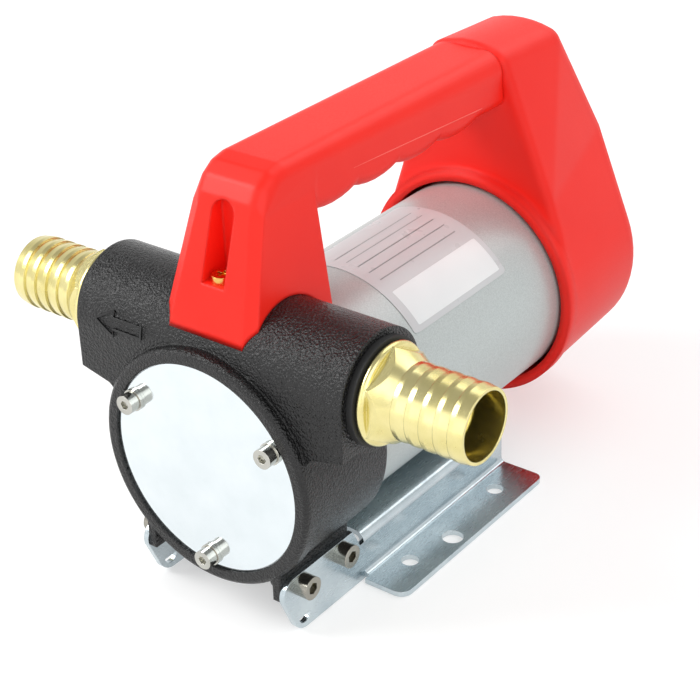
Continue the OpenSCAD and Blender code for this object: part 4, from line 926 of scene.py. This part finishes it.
@dataclass
class SwitchMarks:
    """Printed marks on the rocker: a bar for on above, a ring for off below.

    The rocker's face is hollow, dish_r round, and rests tip_deg off the upright.
    """

    axis_y: float = 125.3
    axis_z: float = 86.4
    tip_deg: float = 9.0
    face: float = 2.6
    dish_r: float = 26.0
    reach: float = 4.6
    ring_r: float = 1.35
    line: float = 0.55
    rise: float = 0.05
    cuts: int = 3
    facets: int = 36

    def build(self) -> None:
        """Models the bar and the ring, and lays them on the rocker's hollow face."""
        Bench.clear()
        bpy.ops.mesh.primitive_plane_add(size=1.0)
        bpy.ops.object.mode_set(mode="EDIT")
        bpy.ops.transform.resize(value=(self.line * MM, 2 * self.ring_r * MM, 1.0))
        bpy.ops.mesh.subdivide(number_cuts=self.cuts)
        bpy.ops.object.mode_set(mode="OBJECT")
        self.lay("switch_mark_on", self.reach)
        Bench.clear()
        bpy.ops.mesh.primitive_circle_add(
            vertices=self.facets, radius=self.ring_r * MM, fill_type="NGON")
        bpy.ops.object.mode_set(mode="EDIT")
        bpy.ops.mesh.select_all(action="SELECT")
        bpy.ops.mesh.inset(thickness=self.line * MM)
        bpy.ops.mesh.delete(type="FACE")
        bpy.ops.object.mode_set(mode="OBJECT")
        self.lay("switch_mark_off", -self.reach)

    def lay(self, name: str, height: float) -> None:
        """Gives the flat mark its thickness and lays it on the tilted hollow face.

        Args:
            name: Name of the piece.
            height: Distance over the rocker's pivot, before it tips.
        """
        piece = Bench.active()
        turn = math.radians(-self.tip_deg)
        for vertex in piece.data.vertices:
            x, up = -vertex.co.x, vertex.co.y / MM + height
            out = self.face + self.dish_r - math.sqrt(self.dish_r ** 2 - up ** 2)
            y = out * math.cos(turn) - up * math.sin(turn)
            z = out * math.sin(turn) + up * math.cos(turn)
            vertex.co = Vector((x, (self.axis_y + y) * MM, (self.axis_z + z) * MM))
        solid = piece.modifiers.new("ink", "SOLIDIFY")
        solid.thickness = 2 * self.rise * MM
        solid.offset = 0.0
        bpy.ops.object.modifier_apply(modifier="ink")
        Bench.finish(name, Surface.MARK, ROCKER, "black_plastic")


@dataclass(frozen=True)
class Lamp:
    """A soft square lamp: its name, place and side in metres, and power in watts."""

    name: str
    place: Point
    size: float
    power: float

    def hang(self, target: Vector) -> None:
        """Adds the lamp to the scene.

        Args:
            target: Place that the lamp looks at, in metres.
        """
        data = bpy.data.lights.new(self.name, "AREA")
        data.size = self.size
        data.energy = self.power
        lamp = bpy.data.objects.new(self.name, data)
        bpy.context.scene.collection.objects.link(lamp)
        lamp.location = self.place
        aim = target - Vector(self.place)
        lamp.rotation_euler = aim.to_track_quat("-Z", "Y").to_euler()


@dataclass
class Studio:
    """White room, soft lamps and the camera at the photograph's viewing angle.

    The eye, the lens and the sensor are in millimetres, and the floor in metres.
    """

    eye: Point = (359.595, -466.391, 395.583)
    right: Point = (0.79832902, 0.60136977, -0.03201852)
    up: Point = (-0.27361609, 0.40956629, 0.87028139)
    lens: float = 95.13
    sensor: float = 36.0
    floor_size: float = 6.0
    floor_z: float = -0.0003
    floor_colour: tuple[float, ...] = (0.6, 0.6, 0.6, 1.0)
    floor_roughness: float = 0.9
    glow: tuple[float, float] = (0.46, 0.8)
    glow_reach: tuple[float, float] = (0.4, 2.4)
    air: float = 0.46
    ceiling: float = 0.3
    ceiling_reach: tuple[float, float] = (0.25, 0.85)
    aim: Point = (0.0, 0.0, 0.08)
    lamps: tuple[Lamp, ...] = (
        Lamp("key", (-1.0, -0.85, 1.15), 0.8, 17.0),
        Lamp("fill", (1.2, -0.6, 0.8), 1.5, 11.0),
        Lamp("front", (-0.1, -1.4, 0.5), 1.2, 3.5),
        Lamp("back", (0.2, 1.0, 1.35), 1.2, 8.0))

    def build(self) -> None:
        """Builds floor, room light, lamps and camera."""
        self.floor()
        self.room()
        for lamp in self.lamps:
            lamp.hang(Vector(self.aim))
        self.camera()

    def floor(self) -> None:
        """Lays a pale floor that keeps the pump's shadow."""
        Bench.clear()
        bpy.ops.mesh.primitive_plane_add(size=self.floor_size,
                                         location=(0.0, 0.0, self.floor_z))
        plane = Bench.active()
        plane.name = "floor"
        material = bpy.data.materials.new("pale_floor")
        material.use_nodes = True
        tree = material.node_tree
        tree.nodes.clear()
        ray = add(tree, Kind.RAY).outputs
        seen = add(tree, Kind.NUMBER, {0: ray["Is Camera Ray"], 1: ray["Is Glossy Ray"]},
                   operation="MAXIMUM")
        place = add(tree, Kind.PLACE).outputs["Object"]
        away = add(tree, Kind.VECTOR, {0: place}, operation="LENGTH").outputs["Value"]
        # Away from the lamps the floor glows more, so that it stays white to the camera
        level = add(tree, Kind.RANGE, {
            "Value": away, "From Min": self.glow_reach[0], "From Max": self.glow_reach[1],
            "To Min": self.glow[0], "To Max": self.glow[1]})
        strength = add(tree, Kind.NUMBER, {0: seen, 1: level}, operation="MULTIPLY")
        glow = add(tree, Kind.GLOW, {"Color": WHITE, "Strength": strength})
        paint = add(tree, Kind.PRINCIPLED, {"Base Color": self.floor_colour,
                                            "Roughness": self.floor_roughness})
        both = add(tree, Kind.BOTH, {0: paint, 1: glow})
        add(tree, Kind.MATERIAL, {"Surface": both})
        plane.data.materials.append(material)

    def room(self) -> None:
        """Fills the room with even white light, and shows it white to the camera."""
        world = bpy.data.worlds.new("white_room")
        bpy.context.scene.world = world
        world.use_nodes = True
        tree = world.node_tree
        tree.nodes.clear()
        ray = add(tree, Kind.RAY).outputs
        way = add(tree, Kind.PLACE).outputs["Generated"]
        height = add(tree, Kind.SPLIT, {0: way}).outputs["Z"]
        # Bright metal shows white walls below a darker ceiling
        walls = add(tree, Kind.RANGE, {
            "Value": height, "From Min": self.ceiling_reach[0],
            "From Max": self.ceiling_reach[1], "To Min": 1.0, "To Max": self.ceiling},
            interpolation_type="SMOOTHSTEP")
        shown = add(tree, Kind.NUMBER, {0: ray["Is Glossy Ray"], 1: walls},
                    operation="MULTIPLY")
        straight = add(tree, Kind.NUMBER, {
            0: ray["Is Camera Ray"], 1: ray["Is Transmission Ray"]}, operation="MAXIMUM")
        seen = add(tree, Kind.NUMBER, {0: straight, 1: shown}, operation="MAXIMUM")
        strength = add(tree, Kind.NUMBER, {0: seen, 1: self.air}, operation="MAXIMUM")
        back = add(tree, Kind.BACKGROUND, {"Color": WHITE, "Strength": strength})
        add(tree, Kind.WORLD, {"Surface": back})

    def camera(self) -> None:
        """Sets the camera where the photograph was taken from."""
        data = bpy.data.cameras.new("photo_view")
        data.lens = self.lens
        data.sensor_width = self.sensor
        camera = bpy.data.objects.new("photo_view", data)
        bpy.context.scene.collection.objects.link(camera)
        right, up = Vector(self.right), Vector(self.up)
        turn = Matrix((right, up, right.cross(up))).transposed().to_4x4()
        camera.matrix_world = Matrix.Translation(Vector(self.eye) * MM) @ turn
        bpy.context.scene.camera = camera


@dataclass
class PumpHead(SubAssembly):
    """Cast head with its cover plate, cover screws and the cast flow arrow."""

    finishes: dict[str, Surface] = field(default_factory=lambda: {
        "pump_housing": Surface.CASTING, "front_cover": Surface.COVER,
        "cover_seal": Surface.RUBBER, "cover_washers": Surface.ZINC_SCREW,
        "cover_screws": Surface.ZINC_SCREW})
    arrow: FlowArrow = field(default_factory=FlowArrow)

    def build(self) -> None:
        """Models the flow arrow."""
        self.arrow.build()


@dataclass
class HoseTails(SubAssembly):
    """Two barbed brass tails with their gaskets, strainer and bypass valve."""

    finishes: dict[str, Surface] = field(default_factory=lambda: {
        "inlet_tail": Surface.BRASS, "outlet_tail": Surface.BRASS,
        "inlet_gasket": Surface.RUBBER, "outlet_gasket": Surface.RUBBER,
        "inlet_strainer": Surface.STAINLESS, "bypass_poppet": Surface.BRASS,
        "bypass_spring": Surface.WIRE, "bypass_retainer": Surface.BRASS})
    coil: BypassCoil = field(default_factory=BypassCoil)

    def build(self) -> None:
        """Models the coil of the bypass valve."""
        self.coil.build()


@dataclass
class Rotor(SubAssembly):
    """Everything on the shaft: pump rotor, armature, commutator and bearings."""

    finishes: dict[str, Surface] = field(default_factory=lambda: {
        "pump_rotor": Surface.SINTERED, "vanes": Surface.VANE,
        "rotor_key": Surface.GROUND, "shaft": Surface.GROUND,
        "shaft_seal": Surface.RUBBER, "front_bearing": Surface.GROUND,
        "rear_bearing": Surface.GROUND, "armature_core": Surface.IRON,
        "armature_winding": Surface.COPPER, "commutator": Surface.SEGMENT})


@dataclass
class Motor(SubAssembly):
    """Motor tube with its blank label, magnets, brush gear, end bell and tie bolts."""

    finishes: dict[str, Surface] = field(default_factory=lambda: {
        "motor_tube": Surface.TUBE, "magnets": Surface.FERRITE,
        "brush_plate": Surface.BOARD, "brush_holders": Surface.BRASS,
        "carbon_brushes": Surface.CARBON, "brush_springs": Surface.WIRE,
        "end_bell": Surface.DIE_CAST, "tie_bolts": Surface.ZINC_SCREW})
    label: TubeLabel = field(default_factory=TubeLabel)

    def build(self) -> None:
        """Models the label."""
        self.label.build()


@dataclass
class Foot(SubAssembly):
    """Folded sheet foot and the screws that hold it to the head's lugs."""

    # The foot's screws take the screw metal painted darker: painted shade
    finishes: dict[str, Surface] = field(default_factory=lambda: {
        "foot_bracket": Surface.ZINC_SHEET, "bracket_screws": Surface.SHADED_SCREW})


@dataclass
class Handle(SubAssembly):
    """Moulded handle with its screw and parting lines."""

    finishes: dict[str, Surface] = field(default_factory=lambda: {
        "handle": Surface.RED, "handle_screw": Surface.YELLOW_ZINC})
    seam: HandleSeam = field(default_factory=HandleSeam)

    def build(self) -> None:
        """Models the parting lines."""
        self.seam.build()


@dataclass
class RearCap(SubAssembly):
    """End cap with its screws, rocker switch and cable entry."""

    finishes: dict[str, Surface] = field(default_factory=lambda: {
        "end_cap": Surface.RED_CAP, "cap_screws": Surface.ZINC_SCREW,
        "switch_frame": Surface.BLACK, "switch_rocker": Surface.BLACK,
        "switch_terminals": Surface.BRASS, "cable_grommet": Surface.RUBBER})
    marks: SwitchMarks = field(default_factory=SwitchMarks)

    def build(self) -> None:
        """Models the marks for on and off."""
        self.marks.build()


def main() -> None:
    """Builds the looks of the whole pump."""
    logging.basicConfig(level=logging.INFO, format="%(message)s")
    Studio().build()
    for group in (PumpHead(), HoseTails(), Rotor(), Motor(), Foot(), Handle(), RearCap()):
        LOG.info("building %s", type(group).__name__)
        group.dress()
        group.build()
    bpy.context.scene.view_settings.view_transform = "Standard"


if __name__ == "__main__":
    main()
